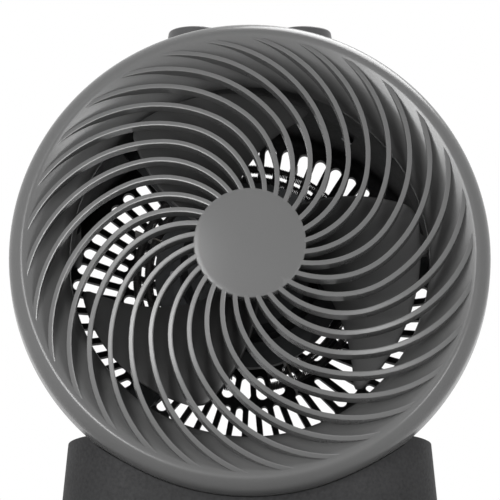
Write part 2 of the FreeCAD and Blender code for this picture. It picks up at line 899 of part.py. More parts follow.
def heater_frame():
    """Steel band round the motor with a tab on each bracket arm."""
    front = rib_back + bracket_skin
    band = ring(band_radius, band_radius + band_skin, front, band_back, FAN_CENTRE)
    tabs = [strap(FAN_CENTRE + direction * (band_radius + band_skin / 2.0),
                  FAN_CENTRE + direction * tab_reach, tab_width, front, front + band_skin)
            for direction, _ in arm_lines()]
    holes = [bore(tip, seat, small_screw_radius) for tip, seat in heater_screw_points()]
    return band.fuse(tabs).cut(holes).removeSplitter()


def coil_hole(radius, depth):
    """Hole in a mica board that a coil passes through."""
    reach = coil_curl_radius + coil_wire / 2.0 + seat_gap
    return Part.makeCylinder(reach, 4.0 * board_skin, Vector(radius, -2.0 * board_skin, -depth), UP)


def mica_boards():
    """Radial boards that carry the coils round the band."""
    inner = band_radius + band_skin + seat_gap
    board = Part.makeBox(board_reach - inner, board_skin, board_back - board_front,
                         Vector(inner, -board_skin / 2.0, -board_back))
    board = board.cut([coil_hole(outer_coil_radius, outer_coil_depth),
                       coil_hole(inner_coil_radius, inner_coil_depth)])
    return Part.makeCompound(around(board, board_count, board_first_angle))


def coil_place(path_radius, depth, curls, share):
    """Point and unit direction of the coil's wire, at a share of its length."""
    sweep = math.radians(coil_sweep)
    turn = math.radians(coil_first_angle) + sweep * share
    curl = 2.0 * math.pi * curls * share
    curl_rate = 2.0 * math.pi * curls / sweep
    reach = path_radius + coil_curl_radius * math.cos(curl)
    reach_rate = -coil_curl_radius * curl_rate * math.sin(curl)
    point = Vector(reach * math.cos(turn), reach * math.sin(turn), coil_curl_radius * math.sin(curl) - depth)
    direction = Vector(reach_rate * math.cos(turn) - reach * math.sin(turn),
                       reach_rate * math.sin(turn) + reach * math.cos(turn),
                       coil_curl_radius * curl_rate * math.cos(curl))
    return point, direction.normalize()


def tangent_arc(start, corner, end):
    """Arc from start to end whose end tangents meet at a corner."""
    middle = (start + end) * 0.5
    half_chord = (end - start).Length / 2.0
    pull = corner - middle
    turn = math.atan2(pull.Length, half_chord)
    sagitta = half_chord * math.tan(turn / 2.0)
    return Part.Arc(start, middle + pull * (sagitta / pull.Length), end).toShape()


def biarc(start, start_direction, end, end_direction):
    """Two tangent arcs between two points with given directions."""
    span = end - start
    lead = start_direction + end_direction
    spread = 2.0 * (1.0 - start_direction.dot(end_direction))
    pull = span.dot(lead)
    arm = (math.sqrt(pull**2 + spread * span.dot(span)) - pull) / spread
    first = start + start_direction * arm
    second = end - end_direction * arm
    joint = (first + second) * 0.5
    return [tangent_arc(start, first, joint), tangent_arc(joint, second, end)]


def heating_coil(name, path_radius, depth, curls):
    """Resistance wire wound in curls along a round path, with straight ends."""
    spans = 2 * curls
    places = [coil_place(path_radius, depth, curls, step / spans) for step in range(spans + 1)]
    first, first_direction = places[0]
    last, last_direction = places[-1]
    lead_in = first - first_direction * coil_wire
    edges = [Part.LineSegment(lead_in, first).toShape()]
    for (start, start_direction), (end, end_direction) in zip(places, places[1:]):
        edges.extend(biarc(start, start_direction, end, end_direction))
    edges.append(Part.LineSegment(last, last + last_direction * coil_wire).toShape())
    section = Part.Wire([Part.makeCircle(coil_wire / 2.0, lead_in, first_direction)])
    coil = Part.Wire(edges).makePipeShell([section], True, False)
    points = [coil_place(path_radius, depth, curls, step / (curls * coil_gap_steps))[0]
              for step in range(2 * coil_gap_steps)]
    gap = min((a - b).Length for a in points[:coil_gap_steps // 2] for b in points[coil_gap_steps:])
    print(name, "least gap between curls:", round(gap - coil_wire, 2), "mm")
    return coil


def arm_spot(index):
    """Placement on the rear face of a bracket arm, with X along the arm."""
    direction, _ = arm_lines()[index]
    centre = FAN_CENTRE + direction * arm_part_circle + at(0, rib_back + bracket_skin)
    return Placement(centre, Rotation(FORWARD, math.degrees(math.atan2(direction.y, direction.x))))


def thermal_cutout():
    """Round resettable cut-out on a bracket arm."""
    can = Part.makeCylinder(cutout_radius, cutout_height, ORIGIN, -FORWARD)
    cap = Part.makeCylinder(cutout_cap_radius, cutout_cap_height, Vector(0, 0, -cutout_height), -FORWARD)
    shape = can.fuse(cap)
    shape.Placement = arm_spot(cutout_arm)
    return shape


def thermal_fuse():
    """One-shot fuse in its saddle on a bracket arm."""
    body = Part.makeCylinder(fuse_radius, fuse_length, Vector(-fuse_length / 2.0, 0, -fuse_radius),
                             Vector(1, 0, 0))
    saddle = Part.makeBox(fuse_length / 2.0, 2.0 * fuse_radius, fuse_radius,
                          Vector(-fuse_length / 4.0, -fuse_radius, -fuse_radius))
    shape = body.fuse(saddle).removeSplitter()
    shape.Placement = arm_spot(fuse_arm)
    return shape


def terminal_block():
    """Three-way terminal block on a bracket arm."""
    block = Part.makeBox(terminal_length, terminal_width, terminal_height,
                         Vector(-terminal_length / 2.0, -terminal_width / 2.0, -terminal_height))
    pitch = terminal_length / 3.0
    for step in (-1, 0, 1):
        well = Part.makeCylinder(terminal_width / 4.0, terminal_height / 2.0,
                                 Vector(step * pitch, 0, -terminal_height), FORWARD)
        block = block.cut(well)
    block.Placement = arm_spot(terminal_arm)
    return block


# Controls, with their axes along the head's Y

def upright(radius, low, high, across, depth):
    """Cylinder along the head's Y between two heights."""
    return Part.makeCylinder(radius, high - low, Vector(across, low, -depth), UP)


def panel_block(inset, low, high):
    """Rounded block of the panel's plan between two heights above the head axis."""
    half_depth = (panel_back - panel_front) / 2.0
    plan = Part.Face(rounded_rectangle(panel_half_width - inset, half_depth - inset, panel_corner - inset))
    block = plan.extrude(Vector(0, 0, high - low))
    block.rotate(ORIGIN, Vector(1, 0, 0), -90)
    block.translate(Vector(0, low, -panel_front - half_depth))
    return block


def knob_places():
    """Distance across of the heat selector and of the thermostat."""
    return -knob_spacing / 2.0, knob_spacing / 2.0


def control_panel():
    """Hollow pod that sits on top of the drum."""
    foot = lip_radius - panel_corner
    block = panel_block(0.0, foot, panel_top)
    top_edges = [edge for edge in block.Edges if edge.BoundBox.YMin > panel_top - touch]
    block = block.makeFillet(panel_edge_round, top_edges)
    hollow = panel_block(wall, foot, panel_top - wall)
    holes = [upright(bush_radius + slip_gap, foot, panel_top, across, knob_depth) for across in knob_places()]
    holes.append(upright(lens_radius + slip_gap, foot, panel_top, 0, lens_depth))
    return block.cut([hollow, drum_envelope(seat_gap)] + holes).removeSplitter()


def bushed_body(body, across):
    """Switch body with its bush through the panel and the spindle's bore."""
    under = panel_top - wall
    whole = body.fuse(upright(bush_radius, under - wall, panel_top, across, knob_depth))
    return whole.cut(upright(spindle_radius + running_gap, under - switch_height + wall, panel_top + wall,
                             across, knob_depth)).removeSplitter()


def heat_switch():
    """Round rotary switch under the panel."""
    under = panel_top - wall
    across = knob_places()[0]
    return bushed_body(upright(switch_radius, under - switch_height, under, across, knob_depth), across)


def thermostat_body():
    """Square thermostat under the panel."""
    under = panel_top - wall
    across = knob_places()[1]
    side = 2.0 * thermostat_half_width
    box = Part.makeBox(side, thermostat_height, side,
                       Vector(across - thermostat_half_width, under - thermostat_height,
                              -knob_depth - thermostat_half_width))
    return bushed_body(box, across)


def spindle(across):
    """Control spindle from the switch up into its knob."""
    low = panel_top - switch_height + wall
    high = panel_top + knob_lift + knob_height - wall
    return upright(spindle_radius, low, high, across, knob_depth)


def knob(across):
    """Tapered knob with finger grooves and a pointer groove."""
    bow = knob_round * (1.0 - math.sqrt(0.5))
    body = turned(outline(
        ORIGIN, Vector(knob_radius, 0, 0), Vector(knob_top_radius, 0, knob_height - knob_round),
        (Vector(knob_top_radius - bow, 0, knob_height - bow),
         Vector(knob_top_radius - knob_round, 0, knob_height)),
        Vector(0, 0, knob_height)))
    groove = Part.makeCylinder(knob_grip_radius, knob_height,
                               Vector(knob_radius + knob_grip_radius / 2.0, 0, 0))
    pointer = Part.makeBox(knob_grip_radius, pointer_length, knob_round,
                           Vector(-knob_grip_radius / 2.0, pointer_start, knob_height - knob_round / 2.0))
    socket = Part.makeCylinder(spindle_radius + running_gap, knob_height - wall, ORIGIN)
    body = body.cut(around(groove, knob_grips, 360.0 / knob_grips / 2.0) + [pointer, socket])
    body.rotate(ORIGIN, Vector(1, 0, 0), -90)
    body.translate(Vector(across, panel_top + knob_lift, -knob_depth))
    return body


def pilot_lens():
    """Round lens that shows when the heater is on."""
    stem = upright(lens_radius, panel_top - 2.0 * wall, panel_top, 0, lens_depth)
    bend = (lens_radius**2 + lens_crown**2) / (2.0 * lens_crown)
    crown = Part.makeSphere(bend, Vector(0, panel_top + lens_crown - bend, -lens_depth))
    cap = crown.common(upright(lens_radius, panel_top, panel_top + bend, 0, lens_depth))
    return stem.fuse(cap).removeSplitter()


def carry_handle():
    """Arched grip whose feet sit on the rear case."""
    outer = handle_inner_radius + handle_thickness
    bow = handle_round * (1.0 - math.sqrt(0.5))
    low = handle_inner_radius
    front = handle_front
    back = handle_back
    arch = turned(outline(
        at(low + handle_round, front), at(outer - handle_round, front),
        (at(outer - bow, front + bow), at(outer, front + handle_round)),
        at(outer, back - handle_round), (at(outer - bow, back - bow), at(outer - handle_round, back)),
        at(low + handle_round, back), (at(low + bow, back - bow), at(low, back - handle_round)),
        at(low, front + handle_round), (at(low + bow, front + bow), at(low + handle_round, front))))
    arch.translate(Vector(0, handle_centre_height, 0))
    holes = [bore(tip, seat, screw_radius) for tip, seat in handle_screw_points()]
    return arch.cut([drum_envelope(seat_gap)] + holes)


# Base, in the frame of the whole heater

HEAD = Placement(Vector(0, -hub_forward, hub_height), Rotation(Vector(1, 0, 0), 90.0 - head_tilt))
FAN = HEAD.multiply(Placement(FAN_CENTRE, Rotation()))
FLOOR = Placement()


def placed(shape, frame):
    """Copy of a shape moved from one of the frames into the heater's."""
    moved = shape.copy()
    moved.Placement = frame.multiply(moved.Placement)
    return moved


def base_block(inset, low, high):
    """Tapering block of the base's plan between two heights."""
    def plan(height):
        share = (height - foot_height) / (base_top - foot_height)
        wire = rounded_rectangle(base_half_width + share * (base_top_half_width - base_half_width) - inset,
                                 base_half_depth + share * (base_top_half_depth - base_half_depth) - inset,
                                 base_corner + share * (base_top_corner - base_corner) - inset)
        wire.translate(Vector(0, 0, height))
        return wire
    return Part.makeLoft([plan(low), plan(high)], True, True)


def under_roof(drop):
    """Half space below the base's roof, which falls towards the back."""
    reach = 4.0 * base_half_width
    space = Part.makeBox(2.0 * reach, 2.0 * reach, reach, Vector(-reach, -reach, -reach))
    space.rotate(ORIGIN, Vector(1, 0, 0), -base_slope)
    space.translate(Vector(0, -base_half_depth, base_top - drop))
    return space


def corners(across, along):
    """The four corner places of a rectangle on the floor."""
    return [Vector(x * across / 2.0, y * along / 2.0, 0) for x in (-1, 1) for y in (-1, 1)]


def plate_screw_points():
    """Tip and seat of each screw up through the base plate."""
    points = []
    for corner in corners(post_across, post_along):
        seat = corner + Vector(0, 0, foot_height)
        points.append((seat + Vector(0, 0, plate_skin + plate_screw_bite), seat))
    return points


def gland_axis():
    """Middle of the cord's inlet on the rear wall of the base."""
    share = (gland_height - foot_height) / (base_top - foot_height)
    return Vector(0, base_half_depth + share * (base_top_half_depth - base_half_depth), gland_height)


def base_shell():
    """Saddle-shaped foot that the drum sits in, open underneath."""
    saddle = placed(drum_envelope(seat_gap), HEAD)
    hollow_top = placed(drum_envelope(seat_gap + wall), HEAD)
    block = base_block(0.0, foot_height, base_top).common(under_roof(0.0))
    hollow = base_block(wall, foot_height, base_top).common(under_roof(wall)).cut(hollow_top)
    posts = []
    for corner in corners(post_across, post_along):
        low = foot_height + plate_skin + slip_gap
        posts.append(Part.makeCylinder(post_radius, base_top - low, corner + Vector(0, 0, low)).common(block))
    for tip, seat in base_screw_points():
        pad = Part.makeCylinder(screw_head_radius + wall, (seat - tip).Length, tip, seat - tip)
        posts.append(placed(pad, HEAD))
    shell = block.cut(hollow).fuse(posts).cut(saddle)
    holes = [bore(tip, seat, screw_radius) for tip, seat in plate_screw_points()]
    holes += [placed(bore(tip, seat, screw_radius), HEAD) for tip, seat in base_screw_points()]
    inlet = gland_axis() - Vector(0, 2.0 * gland_reach, 0)
    holes.append(Part.makeCylinder(gland_radius + slip_gap, 4.0 * gland_reach, inlet, UP))
    return shell.cut(holes).removeSplitter()


def base_plate():
    """Flat cover that closes the base from below."""
    inset = wall + 2.0 * seat_gap
    plan = Part.Face(rounded_rectangle(base_half_width - inset, base_half_depth - inset, base_corner - inset))
    plate = plan.extrude(Vector(0, 0, plate_skin))
    plate.translate(Vector(0, 0, foot_height))
    holes = [bore(tip, seat, screw_radius) for tip, seat in plate_screw_points()]
    holes += [Part.makeCylinder(foot_peg_radius + slip_gap, base_top, corner)
              for corner in corners(foot_across, foot_along)]
    holes.append(Part.makeCylinder(plunger_radius + slip_gap, base_top, Vector(0, tip_switch_along, 0)))
    return plate.cut(holes)


def rubber_feet():
    """Four feet, each pegged into the base plate."""
    feet = []
    for corner in corners(foot_across, foot_along):
        pad = Part.makeCylinder(foot_radius, foot_height, corner)
        lower_edges = [edge for edge in pad.Edges if edge.BoundBox.ZMax < touch]
        pad = pad.makeFillet(foot_height / 4.0, lower_edges)
        peg = Part.makeCylinder(foot_peg_radius, foot_height + plate_skin, corner)
        feet.append(pad.fuse(peg).removeSplitter())
    return Part.makeCompound(feet)


def tip_switch():
    """Switch on the base plate that the plunger works."""
    low = foot_height + plate_skin
    body = Part.makeBox(tip_switch_length, tip_switch_width, tip_switch_height,
                        Vector(-tip_switch_length / 2.0, tip_switch_along - tip_switch_width / 2.0, low))
    return body.cut(Part.makeCylinder(plunger_radius + running_gap, low + tip_switch_height - wall,
                                      Vector(0, tip_switch_along, 0)))


def tip_plunger():
    """Plunger that stands on the floor and drops when the heater is lifted."""
    foot = Vector(0, tip_switch_along, plunger_rest)
    top = foot_height + plate_skin + tip_switch_height - wall - slip_gap
    return Part.makeCylinder(plunger_radius, top - plunger_rest, foot)


def cord_gland():
    """Bushed inlet for the supply cord in the rear wall of the base."""
    middle = gland_axis()
    start = middle - Vector(0, gland_reach, 0)
    sleeve = Part.makeCylinder(gland_radius, 2.0 * gland_reach, start, UP)
    collar = Part.makeCylinder(gland_radius + wall, wall, middle + Vector(0, gland_reach - wall, 0), UP)
    hole = Part.makeCylinder(gland_bore, 4.0 * gland_reach, start - Vector(0, gland_reach, 0), UP)
    return sleeve.fuse(collar).cut(hole).removeSplitter()


def screws(points):
    """Group of ordinary screws."""
    return Part.makeCompound([screw(tip, seat, screw_radius, screw_head_radius, screw_head_height)
                              for tip, seat in points])


def small_screws(points):
    """Group of small screws."""
    return Part.makeCompound([screw(tip, seat, small_screw_radius, small_head_radius, small_head_height)
                              for tip, seat in points])


PIECES = [
    ("hub_cap", HEAD, hub_cap),
    ("front_grille", HEAD, front_grille),
    ("front_case", HEAD, front_case),
    ("rear_case", HEAD, rear_case),
    ("air_duct", HEAD, air_duct),
    ("propeller", FAN, propeller),
    ("propeller_nut", FAN, propeller_nut),
    ("motor_shaft", FAN, motor_shaft),
    ("rotor_core", FAN, rotor_core),
    ("front_bearing", FAN, lambda: bearing(motor_front + motor_skin)),
    ("rear_bearing", FAN, lambda: bearing(motor_back - motor_skin - bearing_length)),
    ("motor_front_shell", FAN, motor_front_shell),
    ("motor_rear_shell", FAN, motor_rear_shell),
    ("stator_core", FAN, stator_core),
    ("stator_windings", FAN, stator_windings),
    ("motor_bracket", HEAD, motor_bracket),
    ("heater_frame", HEAD, heater_frame),
    ("mica_boards", FAN, mica_boards),
    ("outer_heating_coil", FAN,
     lambda: heating_coil("outer coil", outer_coil_radius, outer_coil_depth, outer_coil_curls)),
    ("inner_heating_coil", FAN,
     lambda: heating_coil("inner coil", inner_coil_radius, inner_coil_depth, inner_coil_curls)),
    ("thermal_cutout", HEAD, thermal_cutout),
    ("thermal_fuse", HEAD, thermal_fuse),
    ("terminal_block", HEAD, terminal_block),
    ("control_panel", HEAD, control_panel),
    ("heat_switch", HEAD, heat_switch),
    ("heat_spindle", HEAD, lambda: spindle(knob_places()[0])),
    ("heat_knob", HEAD, lambda: knob(knob_places()[0])),
    ("thermostat_body", HEAD, thermostat_body),
    ("thermostat_spindle", HEAD, lambda: spindle(knob_places()[1])),
    ("thermostat_knob", HEAD, lambda: knob(knob_places()[1])),
    ("pilot_lens", HEAD, pilot_lens),
    ("carry_handle", HEAD, carry_handle),
    ("base_shell", FLOOR, base_shell),
    ("base_plate", FLOOR, base_plate),
    ("rubber_feet", FLOOR, rubber_feet),
    ("tip_switch", FLOOR, tip_switch),
    ("tip_plunger", FLOOR, tip_plunger),
    ("cord_gland", FLOOR, cord_gland),
    ("case_screws", HEAD, lambda: screws(case_screw_points())),
    ("bracket_screws", HEAD, lambda: screws(bracket_screw_points())),
    ("handle_screws", HEAD, lambda: screws(handle_screw_points())),
    ("base_screws", HEAD, lambda: screws(base_screw_points())),
    ("base_plate_screws", FLOOR, lambda: screws(plate_screw_points())),
    ("motor_screws", HEAD, lambda: small_screws(motor_screw_points())),
    ("heater_screws", HEAD, lambda: small_screws(heater_screw_points())),
]

os.makedirs("parts", exist_ok=True)
for name, frame, make in PIECES:
    placed(make(), frame).exportStep(f"parts/{name}.step")
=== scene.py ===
"""Looks of a round fan heater: a tilted drum with a spiral grille on a saddle base."""
import json
import logging
import math
from dataclasses import dataclass
from enum import Enum
from typing import Any, Sequence

import bmesh
import bpy
from mathutils import Matrix, Vector


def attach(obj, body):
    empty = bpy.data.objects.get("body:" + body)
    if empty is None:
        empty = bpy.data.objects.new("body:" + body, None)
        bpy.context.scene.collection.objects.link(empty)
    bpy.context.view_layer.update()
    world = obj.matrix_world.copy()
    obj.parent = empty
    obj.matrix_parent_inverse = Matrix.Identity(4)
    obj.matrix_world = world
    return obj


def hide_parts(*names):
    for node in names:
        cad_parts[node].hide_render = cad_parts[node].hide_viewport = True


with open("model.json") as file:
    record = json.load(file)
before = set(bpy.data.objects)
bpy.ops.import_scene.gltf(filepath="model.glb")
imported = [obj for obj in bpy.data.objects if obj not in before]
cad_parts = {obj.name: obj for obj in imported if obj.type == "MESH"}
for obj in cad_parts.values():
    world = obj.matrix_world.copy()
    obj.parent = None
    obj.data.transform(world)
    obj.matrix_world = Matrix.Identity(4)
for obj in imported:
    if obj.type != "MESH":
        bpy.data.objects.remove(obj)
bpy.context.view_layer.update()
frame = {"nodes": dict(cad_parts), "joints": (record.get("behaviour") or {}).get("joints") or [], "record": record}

LOG = logging.getLogger("fan_heater")
MM = 0.001
# Vertices closer than this many metres become one
MERGE_DISTANCE = 1e-6
# The Mix node's colour sockets by number, because its sockets share their names
MIX_FIRST = 6
MIX_SECOND = 7
MIX_RESULT = 2


def linear(hex_colour: str) -> tuple[float, float, float, float]:
    """Turn an sRGB hex colour into linear RGBA, by the two-part curve of the standard.

    Args:
        hex_colour: Six hex digits, such as "757575".

    Returns:
        Linear red, green and blue with an alpha of one.
    """
    channels = [int(hex_colour[place:place + 2], 16) / 255.0 for place in (0, 2, 4)]
    red, green, blue = [c / 12.92 if c <= 0.04045 else ((c + 0.055) / 1.055) ** 2.4 for c in channels]
    return red, green, blue, 1.0


def add_node(tree: bpy.types.NodeTree, kind: str, settings: dict[str | int, Any] | None = None,
             links: dict[str | int, bpy.types.NodeSocket] | None = None) -> bpy.types.Node:
    """Add a shader node with its settings and its incoming links.

    Args:
        tree: Node tree that gets the node.
        kind: Blender's name for the node type.
        settings: Attribute or input socket values by name, or by number where sockets share a name.
        links: Output sockets to link, by the input that they go to.

    Returns:
        The new node.
    """
    node = tree.nodes.new(kind)
    for name, value in (settings or {}).items():
        if isinstance(name, str) and hasattr(node, name):
            setattr(node, name, value)
        else:
            node.inputs[name].default_value = value
    for name, socket in (links or {}).items():
        tree.links.new(socket, node.inputs[name])
    return node


def empty_tree(owner: bpy.types.Material | bpy.types.World) -> bpy.types.NodeTree:
    """Switch a material or world to nodes and empty its tree.

    Args:
        owner: Material or world.

    Returns:
        Its node tree, without nodes.
    """
    owner.use_nodes = True
    owner.node_tree.nodes.clear()
    return owner.node_tree


class Surface(Enum):
    """How a surface was made, which decides the pattern that the eye sees on it."""

    MOULDED = "moulded"
    BRUSHED = "brushed"
    SPANGLED = "spangled"
    FLAKED = "flaked"
    LAYERED = "layered"


@dataclass(frozen=True)
class Finish:
    """One real material with the way its surface was made.

    Attributes:
        name: Common name of the material.
        colour: Main sRGB colour.
        shade: Second sRGB colour, for mottling, flakes or bands.
        roughness: Middle roughness.
        surface: How the surface was made.
        grain_mm: Size of the pattern's grains, flakes or bands.
        relief_mm: Height of the pattern in the surface.
        mottle: Share of the second colour in the slow mottling.
        metallic: One for bare metal.
        ior: Index of refraction, left at the default on metals.
        transmission: Share of light let through.
        painted_edge_highlight: Paler colour painted on convex edges, a painted highlight.
    """

    name: str
    colour: str
    shade: str
    roughness: float
    surface: Surface = Surface.MOULDED
    grain_mm: float = 1.2
    relief_mm: float = 0.01
    mottle: float = 0.5
    metallic: float = 0.0
    ior: float = 1.5
    transmission: float = 0.0
    # Paler edge colour: a painted highlight on convex edges
    painted_edge_highlight: str | None = None

    # Width of the slow mottling, and the pattern values between which the second colour comes in
    MOTTLE_MM = 35.0
    MOTTLE_RANGE = (0.1, 0.45)
    # Share by which the fine pattern moves the roughness up and down
    ROUGHNESS_SPREAD = 0.15
    # Pointiness at which the painted edge highlight starts and is full, and the share of its colour there
    EDGE_HIGHLIGHT_RANGE = (0.52, 0.60)
    EDGE_HIGHLIGHT_SHARE = 0.6
    # Brushed lines are drawn out along Y
    BRUSHED_STRETCH = (1.0, 0.06, 1.0)
    EVEN_STRETCH = (1.0, 1.0, 1.0)

    def pattern(self, tree: bpy.types.NodeTree, place: bpy.types.NodeSocket) -> bpy.types.NodeSocket:
        """Add the fine pattern of this surface.

        Args:
            tree: Node tree of the material.
            place: Object coordinates.

        Returns:
            Socket with the pattern as a value from zero to one.
        """
        fine = 1.0 / (self.grain_mm * MM)
        stretch = self.BRUSHED_STRETCH if self.surface is Surface.BRUSHED else self.EVEN_STRETCH
        scaled = add_node(tree, "ShaderNodeMapping", {"Scale": [fine * share for share in stretch]},
                          {"Vector": place}).outputs["Vector"]
        if self.surface in (Surface.SPANGLED, Surface.FLAKED):
            cells = add_node(tree, "ShaderNodeTexVoronoi", {"Scale": 1.0}, {"Vector": scaled})
            tones = add_node(tree, "ShaderNodeSeparateColor", links={"Color": cells.outputs["Color"]})
            return tones.outputs["Red"]
        if self.surface is Surface.LAYERED:
            return add_node(tree, "ShaderNodeTexWave", {"bands_direction": "Y", "Scale": 1.0},
                            {"Vector": scaled}).outputs["Fac"]
        return add_node(tree, "ShaderNodeTexNoise", {"Scale": 1.0, "Detail": 3.0, "Roughness": 0.55},
                        {"Vector": scaled}).outputs["Fac"]

    def paint_edge_highlight(self, tree: bpy.types.NodeTree, colour: bpy.types.NodeSocket) -> bpy.types.NodeSocket:
        """Paint a highlight into the colour by lightening the convex edges where pointiness is high.

        Args:
            tree: Node tree of the material.
            colour: Colour of the plain surface.

        Returns:
            Socket with the rubbed colour.
        """
        start, full = self.EDGE_HIGHLIGHT_RANGE
        edge = add_node(tree, "ShaderNodeNewGeometry").outputs["Pointiness"]
        share = add_node(tree, "ShaderNodeMapRange",
                         {"From Min": start, "From Max": full, "To Max": self.EDGE_HIGHLIGHT_SHARE},
                         {"Value": edge}).outputs["Result"]
        return add_node(tree, "ShaderNodeMix", {"data_type": "RGBA", MIX_SECOND: linear(self.painted_edge_highlight)},
                        {"Factor": share, MIX_FIRST: colour}).outputs[MIX_RESULT]

    def material(self) -> bpy.types.Material:
        """Make the procedural material of this finish.

        Returns:
            Material on Object coordinates.
        """
        material = bpy.data.materials.new(self.name)
        tree = empty_tree(material)
        place = add_node(tree, "ShaderNodeTexCoord").outputs["Object"]
        fine = self.pattern(tree, place)
        slow = add_node(tree, "ShaderNodeTexNoise", {"Scale": 1.0 / (self.MOTTLE_MM * MM), "Detail": 2.0},
                        {"Vector": place}).outputs["Fac"]
        both = add_node(tree, "ShaderNodeMath", {"operation": "MULTIPLY"},
                        {0: slow, 1: fine}).outputs["Value"]
        start, full = self.MOTTLE_RANGE
        share = add_node(tree, "ShaderNodeMapRange",
                         {"From Min": start, "From Max": full, "To Max": self.mottle},
                         {"Value": both}).outputs["Result"]
        colours = {MIX_FIRST: linear(self.colour), MIX_SECOND: linear(self.shade)}
        colour = add_node(tree, "ShaderNodeMix", {"data_type": "RGBA", **colours},
                          {"Factor": share}).outputs[MIX_RESULT]
        # Painted highlight: the convex edges are lightened in the colour itself
        if self.painted_edge_highlight:
            colour = self.paint_edge_highlight(tree, colour)
        spread = self.roughness * self.ROUGHNESS_SPREAD
        rough = add_node(tree, "ShaderNodeMapRange",
                         {"To Min": self.roughness - spread, "To Max": min(1.0, self.roughness + spread)},
                         {"Value": fine}).outputs["Result"]
        bump = add_node(tree, "ShaderNodeBump", {"Distance": self.relief_mm * MM}, {"Height": fine})
        settings = {"Metallic": self.metallic, "Transmission Weight": self.transmission}
        if not self.metallic:
            settings["IOR"] = self.ior
        shader = add_node(tree, "ShaderNodeBsdfPrincipled", settings,
                          {"Base Color": colour, "Roughness": rough, "Normal": bump.outputs["Normal"]})
        add_node(tree, "ShaderNodeOutputMaterial", links={"Surface": shader.outputs["BSDF"]})
        return material


# Each finish by the record's slot, and the print by its own name. Grit finer than a pixel is drawn
# 1 to 2 mm wide so that it shows.
FINISHES: dict[str, Finish] = {
    # Satin ABS: an even grey with a soft, wide highlight, and a painted highlight that makes its convex edges a
    # little paler
    "grey_abs": Finish("Satin moulded ABS grey", "616161", "5D5D5D", roughness=0.24, relief_mm=0.002,
                       painted_edge_highlight="6C6C6C"),
    # Spark-textured ABS: nearly black, with a fine grit that breaks up the highlight
    "charcoal_abs": Finish("Spark textured ABS charcoal", "323233", "202021", roughness=0.7, grain_mm=1.8,
                           relief_mm=0.05, mottle=1.0, ior=1.38),
    # Glass-filled nylon: dark and smooth, with faint flow marks
    "propeller_nylon": Finish("Moulded nylon dark grey", "414141", "3C3C3C", roughness=0.42, grain_mm=4.0,
                              relief_mm=0.006),
    # Satin polypropylene: a shade lighter than the case, with a soft sheen and faint mottling
    "knob_plastic": Finish("Satin polypropylene grey", "505051", "434344", roughness=0.38, mottle=0.8),
    # Phenolic: black, dull and slightly mottled
    "switch_phenolic": Finish("Moulded phenolic black", "1B1A19", "24211F", roughness=0.6),
    # Acrylic lens: clear amber with a hard gloss
    "amber_lens": Finish("Polished acrylic amber", "D9801C", "C96F12", roughness=0.08, relief_mm=0.001,
                         ior=1.49, transmission=0.55),
    # Black-passivated zinc plate: dark metal with faint crystal spangle
    "zinc_steel": Finish("Black passivated zinc plate", "343536", "2A2B2C", roughness=0.48,
                         surface=Surface.SPANGLED, grain_mm=6.0, relief_mm=0.003, metallic=0.8),
    # Ground steel: bright, with fine lines along it
    "bright_steel": Finish("Ground steel bar", "A5A5A4", "90908F", roughness=0.28,
                           surface=Surface.BRUSHED, grain_mm=0.8, relief_mm=0.003, metallic=1.0),
    # Stacked laminations: dark varnished sheets edge on
    "lamination_steel": Finish("Varnished lamination stack", "3B3A39", "55524F", roughness=0.5,
                               surface=Surface.LAYERED, grain_mm=0.6, relief_mm=0.05, metallic=0.6),
    # Enamelled copper wire: reddish brown with a line for each turn
    "copper_winding": Finish("Enamelled copper wire", "8A4A22", "6E3516", roughness=0.35,
                             surface=Surface.LAYERED, grain_mm=0.7, relief_mm=0.1, metallic=0.7),
    # Sintered bronze: warm, dull and speckled with pores
    "bronze_bush": Finish("Sintered bronze", "8F6A3A", "775327", roughness=0.5, grain_mm=0.6, metallic=1.0),
    # Pressed amber mica: brown-grey and flaky with a pearly gloss
    "mica": Finish("Pressed amber mica sheet", "4C4740", "3B3731", roughness=0.45,
                   surface=Surface.FLAKED, grain_mm=2.2),
    # Resistance wire: dull grey oxide over a nickel alloy
    "resistance_wire": Finish("Oxidised nickel alloy wire", "4A4949", "3C3B3B", roughness=0.65,
                              grain_mm=2.0, metallic=1.0),
    # Natural rubber: black and matt
    "rubber": Finish("Matt moulded rubber", "1A1A1A", "222222", roughness=0.8, relief_mm=0.02),
    # Pad-printed ink: a thin pale film, matt and slightly uneven
    "printed_ink": Finish("Pad printed ink pale grey", "C2C2C0", "B4B4B2", roughness=0.55, relief_mm=0.004),
    # Plated screws: dull bright steel
    "screw_steel": Finish("Plated screw steel", "77787A", "66676A", roughness=0.38, grain_mm=0.8,
                          metallic=1.0),
}


class Palette:
    """Materials by the name of their finish, each made once."""

    def __init__(self) -> None:
        """Make every finish's material."""
        self.materials = {name: finish.material() for name, finish in FINISHES.items()}

    def dress(self, piece: bpy.types.Object, finish: str) -> None:
        """Put one finish's material all over a piece."""
        piece.data.materials.clear()
        piece.data.materials.append(self.materials[finish])


def joint_frame(name: str) -> Matrix:
    """Place of a joint's own frame: X to the heater's right, Z along the joint's axis.

    Args:
        name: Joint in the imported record.

    Returns:
        Matrix from the joint's frame to the heater's.
    """
    joint = next(row for row in frame["joints"] if row["name"] == name)
    axis = Vector(joint["axis"]).normalized()
    right = Vector((1.0, 0.0, 0.0))
    turn = Matrix((right, axis.cross(right), axis)).transposed().to_4x4()
    return Matrix.Translation(Vector(joint["pos_m"])) @ turn


